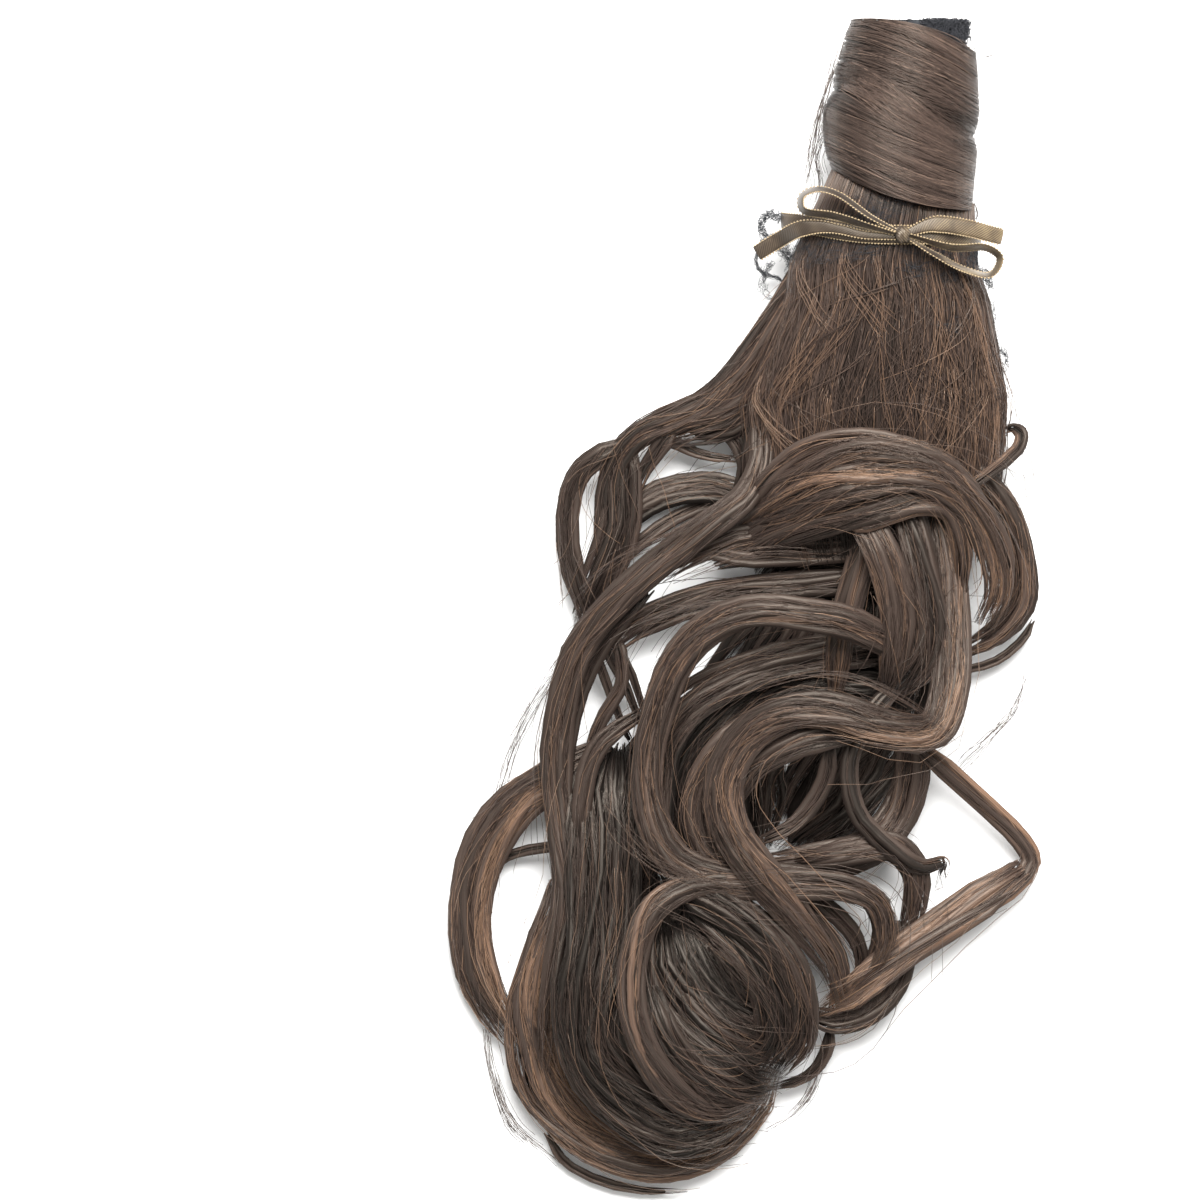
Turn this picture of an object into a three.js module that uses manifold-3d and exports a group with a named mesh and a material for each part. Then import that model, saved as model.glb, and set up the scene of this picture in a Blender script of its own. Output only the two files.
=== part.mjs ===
// A curled ponytail hairpiece, lying on a flat surface as it is stored.
// Its root is a short tube of hook-and-loop net, the cuff, which closes round the wearer's own ponytail.
// One long lock of the hair is wound round the cuff in three turns. Below them the hair leaves as a flat
// neck, held by a net band and a ribbon tied in a bow, and spreads into a tail of curled locks.
// X runs across the tail, Y runs up from the curls to the root, and Z is up from the surface.
// Sizes are in millimetres. "Down" is a distance along the piece from the mouth of the cuff.
import * as THREE from "three";
import { mergeVertices } from "three/addons/utils/BufferGeometryUtils.js";
import Module from "manifold-3d";

const wasm = await Module();
wasm.setup();

// Driving dimensions
const pieceGap = 0.3;
const cuffHalfWidth = 20.5;
const cuffHalfHeight = 16.25;
const cuffWall = 2;
const cuffLean = 5;
const cuffSetback = 9;
const wrapLength = 67;
const wrapThickness = 9.75;
const wrapBulge = 0.7;
const neckLength = 33;
const neckTuck = 7;
const neckHalfWidth = 28;
const neckHalfHeight = 18;
const neckFlare = 8;
const neckLean = 7;
const tailLength = 383;
const tailSpread = 229;
const tailTuck = 4;
const pileHeight = 50;
const lockWidth = 13;
const lockThickness = 9;
const netWidth = 17;
const netWall = 1.2;
const shredReach = 24;
const shredWidth = 5.5;
const shredThickness = 3;
const ribbonWidth = 6.6;
const ribbonThickness = 1;
const ribbonPlace = 22.5;
const knotLength = 10;
const knotWidth = 8;
const knotHeight = 4.8;
const bowReach = 56;
const bowStand = THREE.MathUtils.degToRad(70);

// How finely the round forms are cut
const wrapSides = 28;
const lockSides = 6;
const lockSectionStep = 14;
const shredSections = 4;
const ribbonSectionStep = 5;

// Places along the piece
const cuffLength = wrapLength - cuffSetback;
const neckTopDown = wrapLength - neckTuck;
const neckEndDown = neckTopDown + neckLength;
const ribbonDown = neckTopDown + ribbonPlace;
const tailTopDown = wrapLength - tailTuck;
const axisHeight = cuffHalfHeight + wrapThickness;

// Small helpers

const up = new THREE.Vector3(0, 0, 1);

// Moves every vertex of a geometry to the place that a function gives for it, and merges the seams.
function reshape(geometry, place) {
  geometry.deleteAttribute("normal");
  geometry.deleteAttribute("uv");
  const position = geometry.attributes.position;
  for (let i = 0; i < position.count; i += 1) {
    const to = place(position.getX(i), position.getY(i), position.getZ(i));
    position.setXYZ(i, to.x, to.y, to.z);
  }
  return mergeVertices(geometry, 1e-4);
}

function toSolid(geometry) {
  const vertProperties = geometry.attributes.position.array;
  const triVerts = new Uint32Array(geometry.index.array);
  return new wasm.Manifold(new wasm.Mesh({ numProp: 3, vertProperties, triVerts }));
}

function toGeometry(solid) {
  const { vertProperties, triVerts } = solid.getMesh();
  const geometry = new THREE.BufferGeometry();
  geometry.setAttribute("position", new THREE.BufferAttribute(vertProperties, 3));
  geometry.setIndex(new THREE.BufferAttribute(triVerts, 1));
  return geometry;
}

function namedMesh(name, geometry, material) {
  const mesh = new THREE.Mesh(geometry, material);
  mesh.name = name;
  return mesh;
}

// Straight lines between the rows of a table: [where, value].
function readTable(rows, where) {
  const next = rows.findIndex(([place]) => place >= where);
  if (next === 0) return rows[0][1];
  if (next < 0) return rows[rows.length - 1][1];
  const [from, to] = [rows[next - 1], rows[next]];
  return THREE.MathUtils.mapLinear(where, from[0], to[0], from[1], to[1]);
}

// Lays a geometry that stands along Y, one unit long, along a curve. The size function gives half the
// width and half the thickness at a share of the length, and roll turns the section about the curve.
function layAlong(geometry, curve, size, roll = 0) {
  return reshape(geometry, (x, y, z) => {
    const share = THREE.MathUtils.clamp(y + 0.5, 0, 1);
    const [halfWidth, halfThickness] = size(share);
    const along = curve.getTangentAt(share);
    const side = new THREE.Vector3().crossVectors(along, up).normalize().applyAxisAngle(along, roll);
    const top = new THREE.Vector3().crossVectors(side, along);
    const centre = curve.getPointAt(share);
    return centre.addScaledVector(side, x * halfWidth).addScaledVector(top, z * halfThickness);
  });
}

// Materials

const hairBrown = new THREE.MeshStandardMaterial({ color: 0x4a3a30, roughness: 0.45, metalness: 0 });
const wrapBrown = new THREE.MeshStandardMaterial({ color: 0x5b483c, roughness: 0.45, metalness: 0 });
const netBlack = new THREE.MeshStandardMaterial({ color: 0x23262a, roughness: 0.9, metalness: 0 });
const ribbonTaupe = new THREE.MeshStandardMaterial({ color: 0x6e5c4b, roughness: 0.4, metalness: 0 });

// The cuff: a tube of net, oval because it lies on its side, that leans a little towards its mouth

// A point on an upright oval across the piece, at an angle from its top.
function onOval(centre, halfWidth, halfHeight, angle, down) {
  return new THREE.Vector3(
    centre + Math.sin(angle) * halfWidth,
    -down,
    axisHeight + Math.cos(angle) * halfHeight,
  );
}

function onCuff(angle, outward, down) {
  const centre = cuffLean * (1 - down / cuffLength);
  return onOval(centre, cuffHalfWidth + outward, cuffHalfHeight + outward, angle, down);
}

// A ring round the piece. The profile goes round its section: [0 at the inner and 1 at the outer wall,
// share of the length]. The place function puts a section's corner at an angle from the top.
function ring(profile, place) {
  const points = [...profile, profile[0]].map(([wall, share]) => new THREE.Vector2(1 + wall, 1 - share));
  return reshape(new THREE.LatheGeometry(points, wrapSides), (x, y, z) =>
    place(Math.atan2(x, z), Math.hypot(x, z) - 1, 1 - y),
  );
}

const tubeProfile = [
  [0, 1],
  [1, 1],
  [1, 0],
  [0, 0],
];

// A solid round the same axis: the place function gives its skin at an angle and a share of the length.
function plug(place) {
  return reshape(new THREE.CylinderGeometry(1, 1, 1, wrapSides, 1), (x, y, z) => {
    const skin = place(Math.atan2(x, z), 0.5 - y);
    const opposite = place(Math.atan2(-x, -z), 0.5 - y);
    return opposite.lerp(skin, (1 + Math.hypot(x, z)) / 2);
  });
}

function makeCuff() {
  return ring(tubeProfile, (angle, wall, share) => onCuff(angle, (wall - 1) * cuffWall, share * cuffLength));
}

// The wrap: three turns of one lock, wound on the slant over the cuff

// [share of the wrap's length, share of its thickness]
const wrapFullness = [
  [0, 0.3],
  [0.06, 0.45],
  [0.3, 0.76],
  [0.52, 1],
  [0.78, 0.92],
  [1, 0.76],
];
// How far the wrap leans with the cuff: [share of the wrap's length, share of the cuff's lean]
const wrapLean = [
  [0, 0.8],
  [0.3, 0.38],
  [0.55, 0],
  [1, 0],
];
// The edges between the turns: their place on the axis and how much lower they lie at the right, both as
// shares of the wrap's length. The lock was wound down towards the right on the side that shows.
const wrapEdges = [
  { down: 0.03, slant: 0.05 },
  { down: 0.52, slant: 0.143 },
  { down: 0.77, slant: 0.143 },
  { down: 0.98, slant: 0.096 },
];
const turnProfile = [
  [0, 1],
  [0.86, 1],
  [1, 0.86],
  [1, 0.5],
  [1, 0.14],
  [0.86, 0],
  [0, 0],
];

function onWrap(angle, down) {
  const share = down / wrapLength;
  const thickness = wrapThickness * readTable(wrapFullness, share);
  const centre = cuffLean * readTable(wrapLean, share);
  return onOval(centre, cuffHalfWidth + thickness, cuffHalfHeight + thickness, angle, down);
}

// Where a slanting edge lies, at a distance across the piece.
function edgeDown({ down, slant }, across) {
  return wrapLength * (down + (slant * across) / (cuffHalfWidth + wrapThickness));
}

// Where the edge crosses the wrap at an angle: the place across depends on the place down, and the other
// way round, so a few passes settle both.
function edgeOnWrap(edge, angle, wall) {
  let across = 0;
  for (let pass = 0; pass < 6; pass += 1) {
    const down = edgeDown(edge, across);
    across = THREE.MathUtils.lerp(onCuff(angle, pieceGap, down).x, onWrap(angle, down).x, wall);
  }
  return edgeDown(edge, across);
}

function makeTurn(upperEdge, lowerEdge) {
  return ring(turnProfile, (angle, wall, share) => {
    const from = edgeOnWrap(upperEdge, angle, wall) + pieceGap / 2;
    const to = edgeOnWrap(lowerEdge, angle, wall) - pieceGap / 2;
    const down = THREE.MathUtils.lerp(from, to, share);
    const outer = onWrap(angle, down);
    const hollow = wrapBulge * (1 - Math.sin(Math.PI * share)) * wall;
    outer.x -= Math.sin(angle) * hollow;
    outer.z -= Math.cos(angle) * hollow;
    return onCuff(angle, pieceGap, down).lerp(outer, wall);
  });
}

// The neck: the flat bundle in which the hair leaves the wrap

const neckTop = wrapEdges[wrapEdges.length - 1];

function onNeck(angle, outward, down) {
  const flare = (down - neckTopDown) / neckLength;
  const halfWidth = neckHalfWidth + neckFlare * flare + outward;
  return onOval(-neckLean * flare, halfWidth, neckHalfHeight + outward, angle, down);
}

function makeNeck() {
  const bundle = plug((angle, share) => {
    const start = edgeDown(neckTop, Math.sin(angle) * neckHalfWidth) + pieceGap * 2;
    return onNeck(angle, 0, THREE.MathUtils.lerp(start, neckEndDown, share));
  });
  // The roots of the hair, gathered inside the lowest turn, close the foot of the cuff.
  const rootsEnd = edgeDown(neckTop, cuffHalfWidth) + cuffWall;
  const roots = plug((angle, share) =>
    onCuff(angle, 0, THREE.MathUtils.lerp(cuffLength + pieceGap, rootsEnd, share)),
  );
  return toSolid(bundle).add(toSolid(roots));
}

// The tail: locks that leave the neck, fan out and curl over one another

// The lay of the tail. A lock's route is a smooth line through a few places, each [across, down, height]:
// across and down are thousandths of the tail's length, from the middle of the neck and from the foot of
// the wrap, and height is a percentage of the pile's. Width and thickness are in usual locks. The curls
// reach from the left to the right over laySpread of the thousandths across.
const laySpread = 594;
const locks = [
  // The fan below the neck
  {
    name: "crown_left",
    width: 2.2,
    thick: 1.5,
    route: [[-56, 50, 52], [-90, 115, 52], [-118, 180, 48], [-136, 250, 42], [-140, 330, 30]],
  },
  {
    name: "crown_mid_left",
    width: 2.2,
    thick: 1.4,
    route: [
      [-22, 40, 62], [-40, 110, 68], [-58, 190, 62], [-70, 275, 50], [-78, 350, 36], [-66, 420, 24],
      [-64, 480, 16],
    ],
  },
  {
    name: "crown_middle",
    width: 2.2,
    thick: 1.4,
    route: [
      [0, 40, 68], [-6, 115, 74], [-16, 205, 70], [-18, 290, 58], [-22, 355, 46], [-6, 420, 38],
      [-8, 480, 28], [-30, 545, 20],
    ],
  },
  {
    name: "crown_mid_right",
    width: 2.2,
    thick: 1.4,
    route: [
      [22, 40, 62], [34, 115, 70], [38, 205, 66], [36, 290, 54], [34, 365, 44], [40, 430, 38],
      [48, 490, 34],
    ],
  },
  {
    name: "crown_right",
    width: 1.8,
    thick: 1.5,
    route: [[40, 40, 50], [50, 100, 52], [68, 165, 46], [80, 235, 40], [74, 300, 32], [58, 360, 26]],
  },
  {
    name: "crown_under",
    width: 5.6,
    thick: 1.6,
    route: [[-4, 50, 34], [-12, 130, 24], [-30, 220, 16], [-46, 320, 14], [-56, 400, 14]],
  },
  // The ring of curls at the upper left
  {
    name: "ring_top",
    width: 0.8,
    thick: 0.9,
    route: [
      [-60, 50, 46], [-96, 110, 46], [-130, 168, 42], [-165, 212, 38], [-205, 224, 36], [-246, 236, 34],
      [-282, 262, 32],
    ],
  },
  {
    name: "ring_arch",
    width: 0.6,
    thick: 0.7,
    route: [
      [-155, 312, 24], [-149, 275, 28], [-166, 243, 30], [-200, 231, 32], [-240, 238, 32],
      [-270, 256, 30], [-288, 290, 28], [-290, 335, 24], [-290, 385, 20], [-302, 430, 20],
    ],
  },
  {
    name: "ring_fall",
    width: 1.2,
    thick: 0.9,
    route: [
      [-256, 258, 28], [-266, 305, 26], [-264, 355, 24], [-270, 405, 22], [-292, 450, 20],
      [-310, 495, 20],
    ],
  },
  {
    name: "ring_outer",
    width: 0.75,
    thick: 0.8,
    route: [
      [-262, 254, 30], [-298, 265, 28], [-322, 290, 26], [-336, 330, 22], [-336, 375, 20],
      [-322, 420, 22], [-308, 460, 24],
    ],
  },
  {
    name: "ring_strand",
    width: 0.32,
    thick: 0.4,
    route: [[-268, 252, 30], [-242, 251, 28], [-208, 257, 26], [-182, 269, 25], [-148, 273, 26]],
  },
  {
    name: "ring_band_upper",
    width: 0.8,
    thick: 0.6,
    route: [[-264, 330, 20], [-240, 306, 20], [-200, 298, 20], [-165, 304, 20], [-140, 316, 20]],
  },
  {
    name: "ring_band_lower",
    width: 0.45,
    thick: 0.5,
    route: [[-262, 366, 16], [-235, 344, 14], [-200, 328, 14], [-165, 312, 16]],
  },
  {
    name: "left_stream",
    width: 1.15,
    thick: 1,
    route: [
      [-140, 235, 48], [-137, 285, 54], [-160, 320, 58], [-200, 343, 60], [-250, 377, 58],
      [-290, 414, 54], [-323, 462, 48], [-339, 525, 44], [-343, 590, 40], [-336, 650, 42],
      [-330, 710, 44], [-340, 770, 44], [-350, 830, 40], [-356, 890, 34],
    ],
  },
  {
    name: "left_stream_inner",
    width: 0.55,
    thick: 0.7,
    route: [[-255, 400, 44], [-290, 460, 36], [-314, 510, 30], [-322, 570, 28], [-312, 650, 30]],
  },
  {
    name: "lattice",
    width: 0.8,
    thick: 0.5,
    route: [[-292, 440, 28], [-280, 490, 26], [-264, 530, 20], [-248, 575, 18]],
  },
  // The dark bands behind the front curls
  {
    name: "band_upper",
    width: 0.75,
    thick: 0.9,
    route: [[5, 300, 40], [-60, 346, 36], [-130, 362, 38], [-190, 362, 42], [-240, 388, 44]],
  },
  {
    name: "band_middle",
    width: 1.15,
    thick: 1,
    route: [
      [-20, 380, 24], [-110, 394, 26], [-185, 406, 26], [-240, 424, 24], [-282, 470, 20],
      [-302, 530, 16], [-300, 580, 14],
    ],
  },
  {
    name: "band_lower",
    width: 1.4,
    thick: 1,
    route: [
      [-10, 450, 22], [-90, 467, 34], [-152, 490, 38], [-208, 522, 36], [-244, 575, 32],
      [-260, 650, 30], [-275, 720, 30],
    ],
  },
  {
    name: "arch",
    width: 1.05,
    thick: 1,
    route: [
      [45, 470, 40], [-15, 450, 58], [-70, 430, 70], [-125, 422, 74], [-175, 442, 72], [-216, 484, 68],
      [-240, 532, 64], [-250, 585, 62], [-244, 640, 62], [-220, 684, 62], [-170, 700, 62],
      [-110, 700, 62], [-55, 705, 60], [-22, 722, 56], [-14, 756, 48], [-26, 792, 42],
    ],
  },
  // The front roll and the loops at the right
  {
    name: "front_roll",
    width: 1.9,
    thick: 1.15,
    route: [
      [-195, 400, 30], [-170, 368, 48], [-132, 318, 72], [-90, 288, 86], [-40, 278, 90], [8, 290, 88],
      [52, 320, 80], [82, 366, 68], [88, 420, 56], [64, 466, 44],
    ],
  },
  {
    name: "front_fold",
    width: 0.6,
    thick: 0.6,
    route: [[-70, 346, 62], [-20, 325, 70], [30, 316, 72], [60, 332, 64], [66, 372, 52], [64, 420, 42]],
  },
  {
    name: "right_loop",
    width: 0.75,
    thick: 0.9,
    route: [
      [40, 262, 44], [78, 290, 46], [108, 326, 44], [123, 374, 38], [121, 420, 32], [92, 452, 28],
      [50, 474, 26],
    ],
  },
  {
    name: "right_tip",
    width: 0.38,
    thick: 0.5,
    route: [[108, 247, 44], [118, 252, 50], [106, 272, 60], [74, 296, 76], [40, 318, 84]],
  },
  {
    name: "right_wisp",
    width: 0.28,
    thick: 0.4,
    route: [[130, 446, 10], [116, 462, 12], [90, 479, 16], [55, 484, 24], [10, 476, 30]],
  },
  {
    name: "right_s",
    width: 1.15,
    thick: 1.05,
    route: [
      [30, 300, 46], [44, 370, 50], [48, 440, 56], [48, 505, 64], [30, 546, 72], [-20, 543, 78],
      [-68, 528, 80], [-112, 528, 80], [-156, 554, 76], [-178, 600, 72], [-170, 648, 70],
      [-138, 695, 70], [-96, 745, 64], [-62, 795, 52], [-50, 836, 40],
    ],
  },
  {
    name: "right_s_inner",
    width: 0.8,
    thick: 0.7,
    route: [[-50, 552, 66], [-100, 558, 68], [-148, 584, 66], [-170, 625, 66]],
  },
  {
    name: "right_s_outer",
    width: 1,
    thick: 0.9,
    route: [[-140, 530, 52], [-184, 572, 54], [-204, 620, 52], [-192, 665, 52], [-150, 705, 54]],
  },
  {
    name: "right_eye",
    width: 0.4,
    thick: 0.5,
    route: [[-70, 554, 62], [-78, 600, 54], [-106, 640, 54], [-150, 662, 60]],
  },
  {
    name: "right_drop",
    width: 0.42,
    thick: 0.5,
    route: [
      [5, 495, 40], [-30, 530, 50], [-52, 582, 52], [-42, 632, 52], [-14, 662, 50], [20, 684, 44],
      [44, 680, 32], [38, 708, 16],
    ],
  },
  {
    name: "right_turn",
    width: 1.05,
    thick: 0.9,
    route: [[10, 540, 34], [12, 585, 30], [-2, 632, 28], [-34, 666, 34], [-90, 680, 40], [-160, 686, 46]],
  },
  {
    name: "right_hook",
    width: 0.75,
    thick: 0.7,
    route: [[-105, 680, 44], [-50, 668, 46], [-8, 664, 44], [14, 688, 38], [14, 726, 30], [2, 764, 24]],
  },
  {
    name: "right_elbow",
    width: 0.8,
    thick: 0.8,
    route: [
      [0, 548, 44], [46, 588, 34], [92, 630, 24], [122, 660, 18], [132, 684, 16], [112, 706, 20],
      [62, 736, 28], [12, 766, 36], [-28, 792, 42], [-62, 818, 42],
    ],
  },
  {
    name: "right_elbow_low",
    width: 1,
    thick: 0.7,
    route: [[118, 694, 20], [72, 726, 24], [28, 752, 30], [-12, 782, 36], [-50, 812, 38], [-84, 830, 36]],
  },
  {
    name: "right_under",
    width: 0.85,
    thick: 0.9,
    route: [[0, 738, 26], [0, 785, 18], [-22, 820, 20], [-60, 836, 26], [-104, 828, 30]],
  },
  {
    name: "right_inner_loop",
    width: 0.8,
    thick: 0.8,
    route: [[-125, 705, 44], [-82, 728, 42], [-50, 766, 36], [-50, 802, 30], [-78, 836, 26]],
  },
  {
    name: "right_bridge",
    width: 0.4,
    thick: 0.5,
    route: [[-145, 722, 36], [-105, 756, 32], [-70, 790, 28], [-54, 820, 26]],
  },
  // The big roll at the lower end and the loop at its left
  {
    name: "left_loop",
    width: 1.35,
    thick: 0.95,
    route: [
      [-290, 565, 26], [-342, 594, 26], [-388, 626, 24], [-416, 668, 20], [-430, 718, 16],
      [-428, 770, 14], [-410, 822, 14], [-378, 872, 16],
    ],
  },
  {
    name: "left_loop_strand",
    width: 0.22,
    thick: 0.4,
    route: [[-320, 664, 22], [-362, 666, 16], [-395, 676, 14], [-424, 706, 12]],
  },
  {
    name: "roll_mass",
    width: 2.7,
    thick: 1.3,
    route: [
      [-262, 455, 24], [-288, 520, 30], [-300, 590, 38], [-296, 670, 46], [-296, 745, 52],
      [-304, 815, 56], [-292, 875, 56], [-250, 922, 52], [-195, 942, 46], [-150, 930, 40],
    ],
  },
  {
    name: "roll_outer",
    width: 1.9,
    thick: 1.1,
    route: [
      [-332, 700, 26], [-346, 770, 24], [-366, 840, 20], [-354, 906, 18], [-311, 950, 18],
      [-250, 973, 18], [-195, 961, 18], [-153, 926, 16], [-128, 885, 14],
    ],
  },
  {
    name: "roll_ring",
    width: 1,
    thick: 0.9,
    route: [
      [-130, 702, 54], [-200, 708, 62], [-245, 738, 66], [-264, 786, 70], [-262, 840, 70],
      [-238, 888, 68], [-196, 918, 62], [-150, 914, 54], [-118, 888, 44],
    ],
  },
  {
    name: "roll_bowl",
    width: 1.4,
    thick: 1,
    route: [
      [-175, 735, 46], [-220, 760, 46], [-234, 805, 46], [-216, 850, 48], [-172, 874, 50],
      [-122, 862, 46], [-98, 826, 40], [-105, 776, 36], [-140, 738, 36],
    ],
  },
  {
    name: "roll_heart",
    width: 3,
    thick: 1,
    route: [[-132, 740, 28], [-160, 775, 34], [-162, 815, 36], [-140, 848, 36]],
  },
  // The lowest layer, which the curls lie on
  {
    name: "floor_middle",
    width: 3.8,
    thick: 1,
    route: [[-50, 380, 12], [-110, 450, 12], [-150, 520, 10], [-170, 600, 10], [-160, 690, 10]],
  },
  {
    name: "floor_right",
    width: 3.6,
    thick: 1,
    route: [[-10, 400, 12], [-12, 470, 12], [-30, 545, 10], [-70, 610, 10], [-120, 670, 10]],
  },
  {
    name: "floor_left",
    width: 2.4,
    thick: 1,
    route: [[-252, 480, 10], [-262, 560, 10], [-268, 640, 10], [-272, 720, 10]],
  },
  {
    name: "floor_roll",
    width: 5,
    thick: 1,
    route: [[-280, 700, 10], [-262, 780, 10], [-230, 850, 10], [-180, 890, 10]],
  },
];

// A lock is thin where it leaves the bundle, full along most of its length and drawn to a tip.
const lockFullness = [
  [0, 0.6],
  [0.12, 1],
  [0.8, 1],
  [0.93, 0.75],
  [1, 0.35],
];

function layPoint([across, down, height], halfThickness) {
  const z = Math.max((height / 100) * pileHeight, halfThickness);
  return new THREE.Vector3((across / laySpread) * tailSpread, -(tailTopDown + (down / 1000) * tailLength), z);
}

function makeLock({ width, thick, route }) {
  const halfWidth = (width * lockWidth) / 2;
  const halfThickness = (thick * lockThickness) / 2;
  const places = route.map((place) => layPoint(place, halfThickness));
  const curve = new THREE.CatmullRomCurve3(places, false, "centripetal");
  const sections = Math.round(curve.getLength() / lockSectionStep);
  return layAlong(new THREE.CylinderGeometry(1, 1, 1, lockSides, sections), curve, (share) => {
    const fullness = readTable(lockFullness, share);
    return [halfWidth * fullness, halfThickness * fullness];
  });
}

// The space round the neck that the net band and the ribbon take, which no lock may reach into.
function neckSleeve() {
  const beyond = tailSpread;
  return ring(tubeProfile, (angle, wall, share) => onNeck(angle, wall * beyond, share * neckEndDown));
}

function makeTail() {
  const bundle = wasm.Manifold.union(locks.map((lock) => toSolid(makeLock(lock))));
  return toGeometry(bundle.subtract(toSolid(neckSleeve())).add(makeNeck()));
}

// The net band round the neck, with the frayed shreds that hang from its ends

// A shred leaves the band at the side given (-1 left, 1 right), above (-1) or below (1) the ribbon. Its
// places are [across, along, height] from where it leaves, as percentages of the shreds' reach.
const shreds = [
  { side: -1, below: -1, route: [[0, 0, 0], [-36, 8, 4], [-67, 4, -8], [-81, -18, -21]] },
  { side: -1, below: 1, route: [[0, 0, 0], [-38, -18, -29], [-62, -45, -50], [-55, -74, -67]] },
  { side: 1, below: 1, route: [[0, 0, 0], [21, -20, -29], [33, -50, -46]] },
];

function makeShred({ side, below, route }) {
  const edge = ribbonDown + below * (ribbonWidth / 2 + pieceGap + shredWidth / 2);
  const start = onNeck((side * Math.PI) / 2, 0, edge);
  const unit = shredReach / 100;
  const places = route.map((place) => start.clone().addScaledVector(new THREE.Vector3(...place), unit));
  const curve = new THREE.CatmullRomCurve3(places, false, "centripetal");
  return layAlong(new THREE.CylinderGeometry(1, 1, 1, lockSides, shredSections), curve, (share) => {
    const fullness = readTable(lockFullness, share);
    return [(shredWidth / 2) * fullness, (shredThickness / 2) * fullness];
  });
}

function makeNetBand() {
  const collar = ring(tubeProfile, (angle, wall, share) =>
    onNeck(angle, pieceGap + wall * netWall, ribbonDown + (share - 0.5) * netWidth),
  );
  const inside = plug((angle, share) => onNeck(angle, pieceGap, share * neckEndDown));
  const band = wasm.Manifold.union([collar, ...shreds.map(makeShred)].map(toSolid));
  return toGeometry(band.subtract(toSolid(inside)));
}

// The ribbon: one band round the neck, tied over it in a bow

const tieLift = pieceGap + netWall + pieceGap;
const bandLift = tieLift + ribbonThickness;

function makeTie() {
  return ring(tubeProfile, (angle, wall, share) =>
    onNeck(angle, tieLift + wall * ribbonThickness, ribbonDown + (share - 0.5) * ribbonWidth),
  );
}

// The height of the tied band at a distance across the piece. Past its ends it stays at the axis.
function bandHeight(across) {
  const right = onNeck(Math.PI / 2, bandLift, ribbonDown).x;
  const left = onNeck(-Math.PI / 2, bandLift, ribbonDown).x;
  const share = THREE.MathUtils.clamp(THREE.MathUtils.mapLinear(across, left, right, -1, 1), -1, 1);
  return axisHeight + (neckHalfHeight + bandLift) * Math.sqrt(1 - share ** 2);
}

function makeKnot() {
  const middle = bandHeight(0) + pieceGap + knotHeight / 2;
  return reshape(new THREE.SphereGeometry(0.5, 10, 8), (x, y, z) =>
    new THREE.Vector3(x * knotLength, y * knotWidth - ribbonDown, z * knotHeight + middle),
  );
}

// The bow's pieces. Places are [across, along, lift] from the middle of the knot, as percentages of the
// bow's reach. The lift is over the tied band. The loops stand nearly on edge and the ends lie flat.
const bowPieces = {
  ribbon_loop_left: {
    stand: bowStand,
    route: [
      [-8.2, 3.4, 6.2], [-22, 12, 9], [-45, 28, 8], [-59, 31, 12], [-69, 26, 21], [-68, 17, 21], [-48, 13, 9.5],
      [-22, 5, 9], [-9.4, 0.3, 6.2],
    ],
  },
  ribbon_loop_right: {
    stand: bowStand,
    route: [
      [9.3, -0.8, 6.2], [34, -9, 12], [58, -11, 33], [67, -18, 30], [58, -25, 29], [41, -20, 9], [21, -12, 7],
      [7.9, -4.2, 6.2],
    ],
  },
  ribbon_tail_left: {
    stand: 0,
    route: [
      [-8.6, -2, 2], [-24, -1, 2.5], [-42, 0, 4.5], [-58, 3, 8], [-72, 5, 17], [-88, 1, 15], [-99, -11, 9],
    ],
  },
  ribbon_tail_right: {
    stand: 0,
    route: [[8.6, 2, 2.6], [21, 7, 4], [48, 4, 10], [60, 1, 23], [69, -1, 18]],
  },
};

// The ribbon is gathered where it goes into the knot: [share of the length, share of the width].
const loopFullness = [
  [0, 0.4],
  [0.2, 1],
  [0.8, 1],
  [1, 0.4],
];
const endFullness = [
  [0, 0.4],
  [0.3, 1],
];

function makeBowPiece({ stand, route }) {
  const places = route.map((place) => {
    const [across, along, lift] = place.map((part) => (part / 100) * bowReach);
    return new THREE.Vector3(across, along - ribbonDown, bandHeight(across) + lift);
  });
  const curve = new THREE.CatmullRomCurve3(places, false, "centripetal");
  const sections = Math.round(curve.getLength() / ribbonSectionStep);
  const fullness = stand === 0 ? endFullness : loopFullness;
  return layAlong(
    new THREE.BoxGeometry(2, 1, 2, 1, sections, 1),
    curve,
    (share) => [(ribbonWidth / 2) * readTable(fullness, share), ribbonThickness / 2],
    stand,
  );
}

// Assembly

const hairpiece = new THREE.Group();
hairpiece.add(
  namedMesh("cuff", makeCuff(), netBlack),
  namedMesh("wrap_turn_upper", makeTurn(wrapEdges[0], wrapEdges[1]), wrapBrown),
  namedMesh("wrap_turn_middle", makeTurn(wrapEdges[1], wrapEdges[2]), wrapBrown),
  namedMesh("wrap_turn_lower", makeTurn(wrapEdges[2], wrapEdges[3]), wrapBrown),
  namedMesh("hair_tail", makeTail(), hairBrown),
  namedMesh("net_band", makeNetBand(), netBlack),
  namedMesh("ribbon_tie", makeTie(), ribbonTaupe),
  namedMesh("ribbon_knot", makeKnot(), ribbonTaupe),
);
for (const [name, piece] of Object.entries(bowPieces)) {
  hairpiece.add(namedMesh(name, makeBowPiece(piece), ribbonTaupe));
}

// The frame's origin is the middle of the foot of the whole piece.
const extent = new THREE.Box3().setFromObject(hairpiece, true);
const middle = extent.getCenter(new THREE.Vector3());
hairpiece.position.set(-middle.x, -middle.y, -extent.min.z);

export default hairpiece;
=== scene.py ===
from collections import namedtuple

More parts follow.
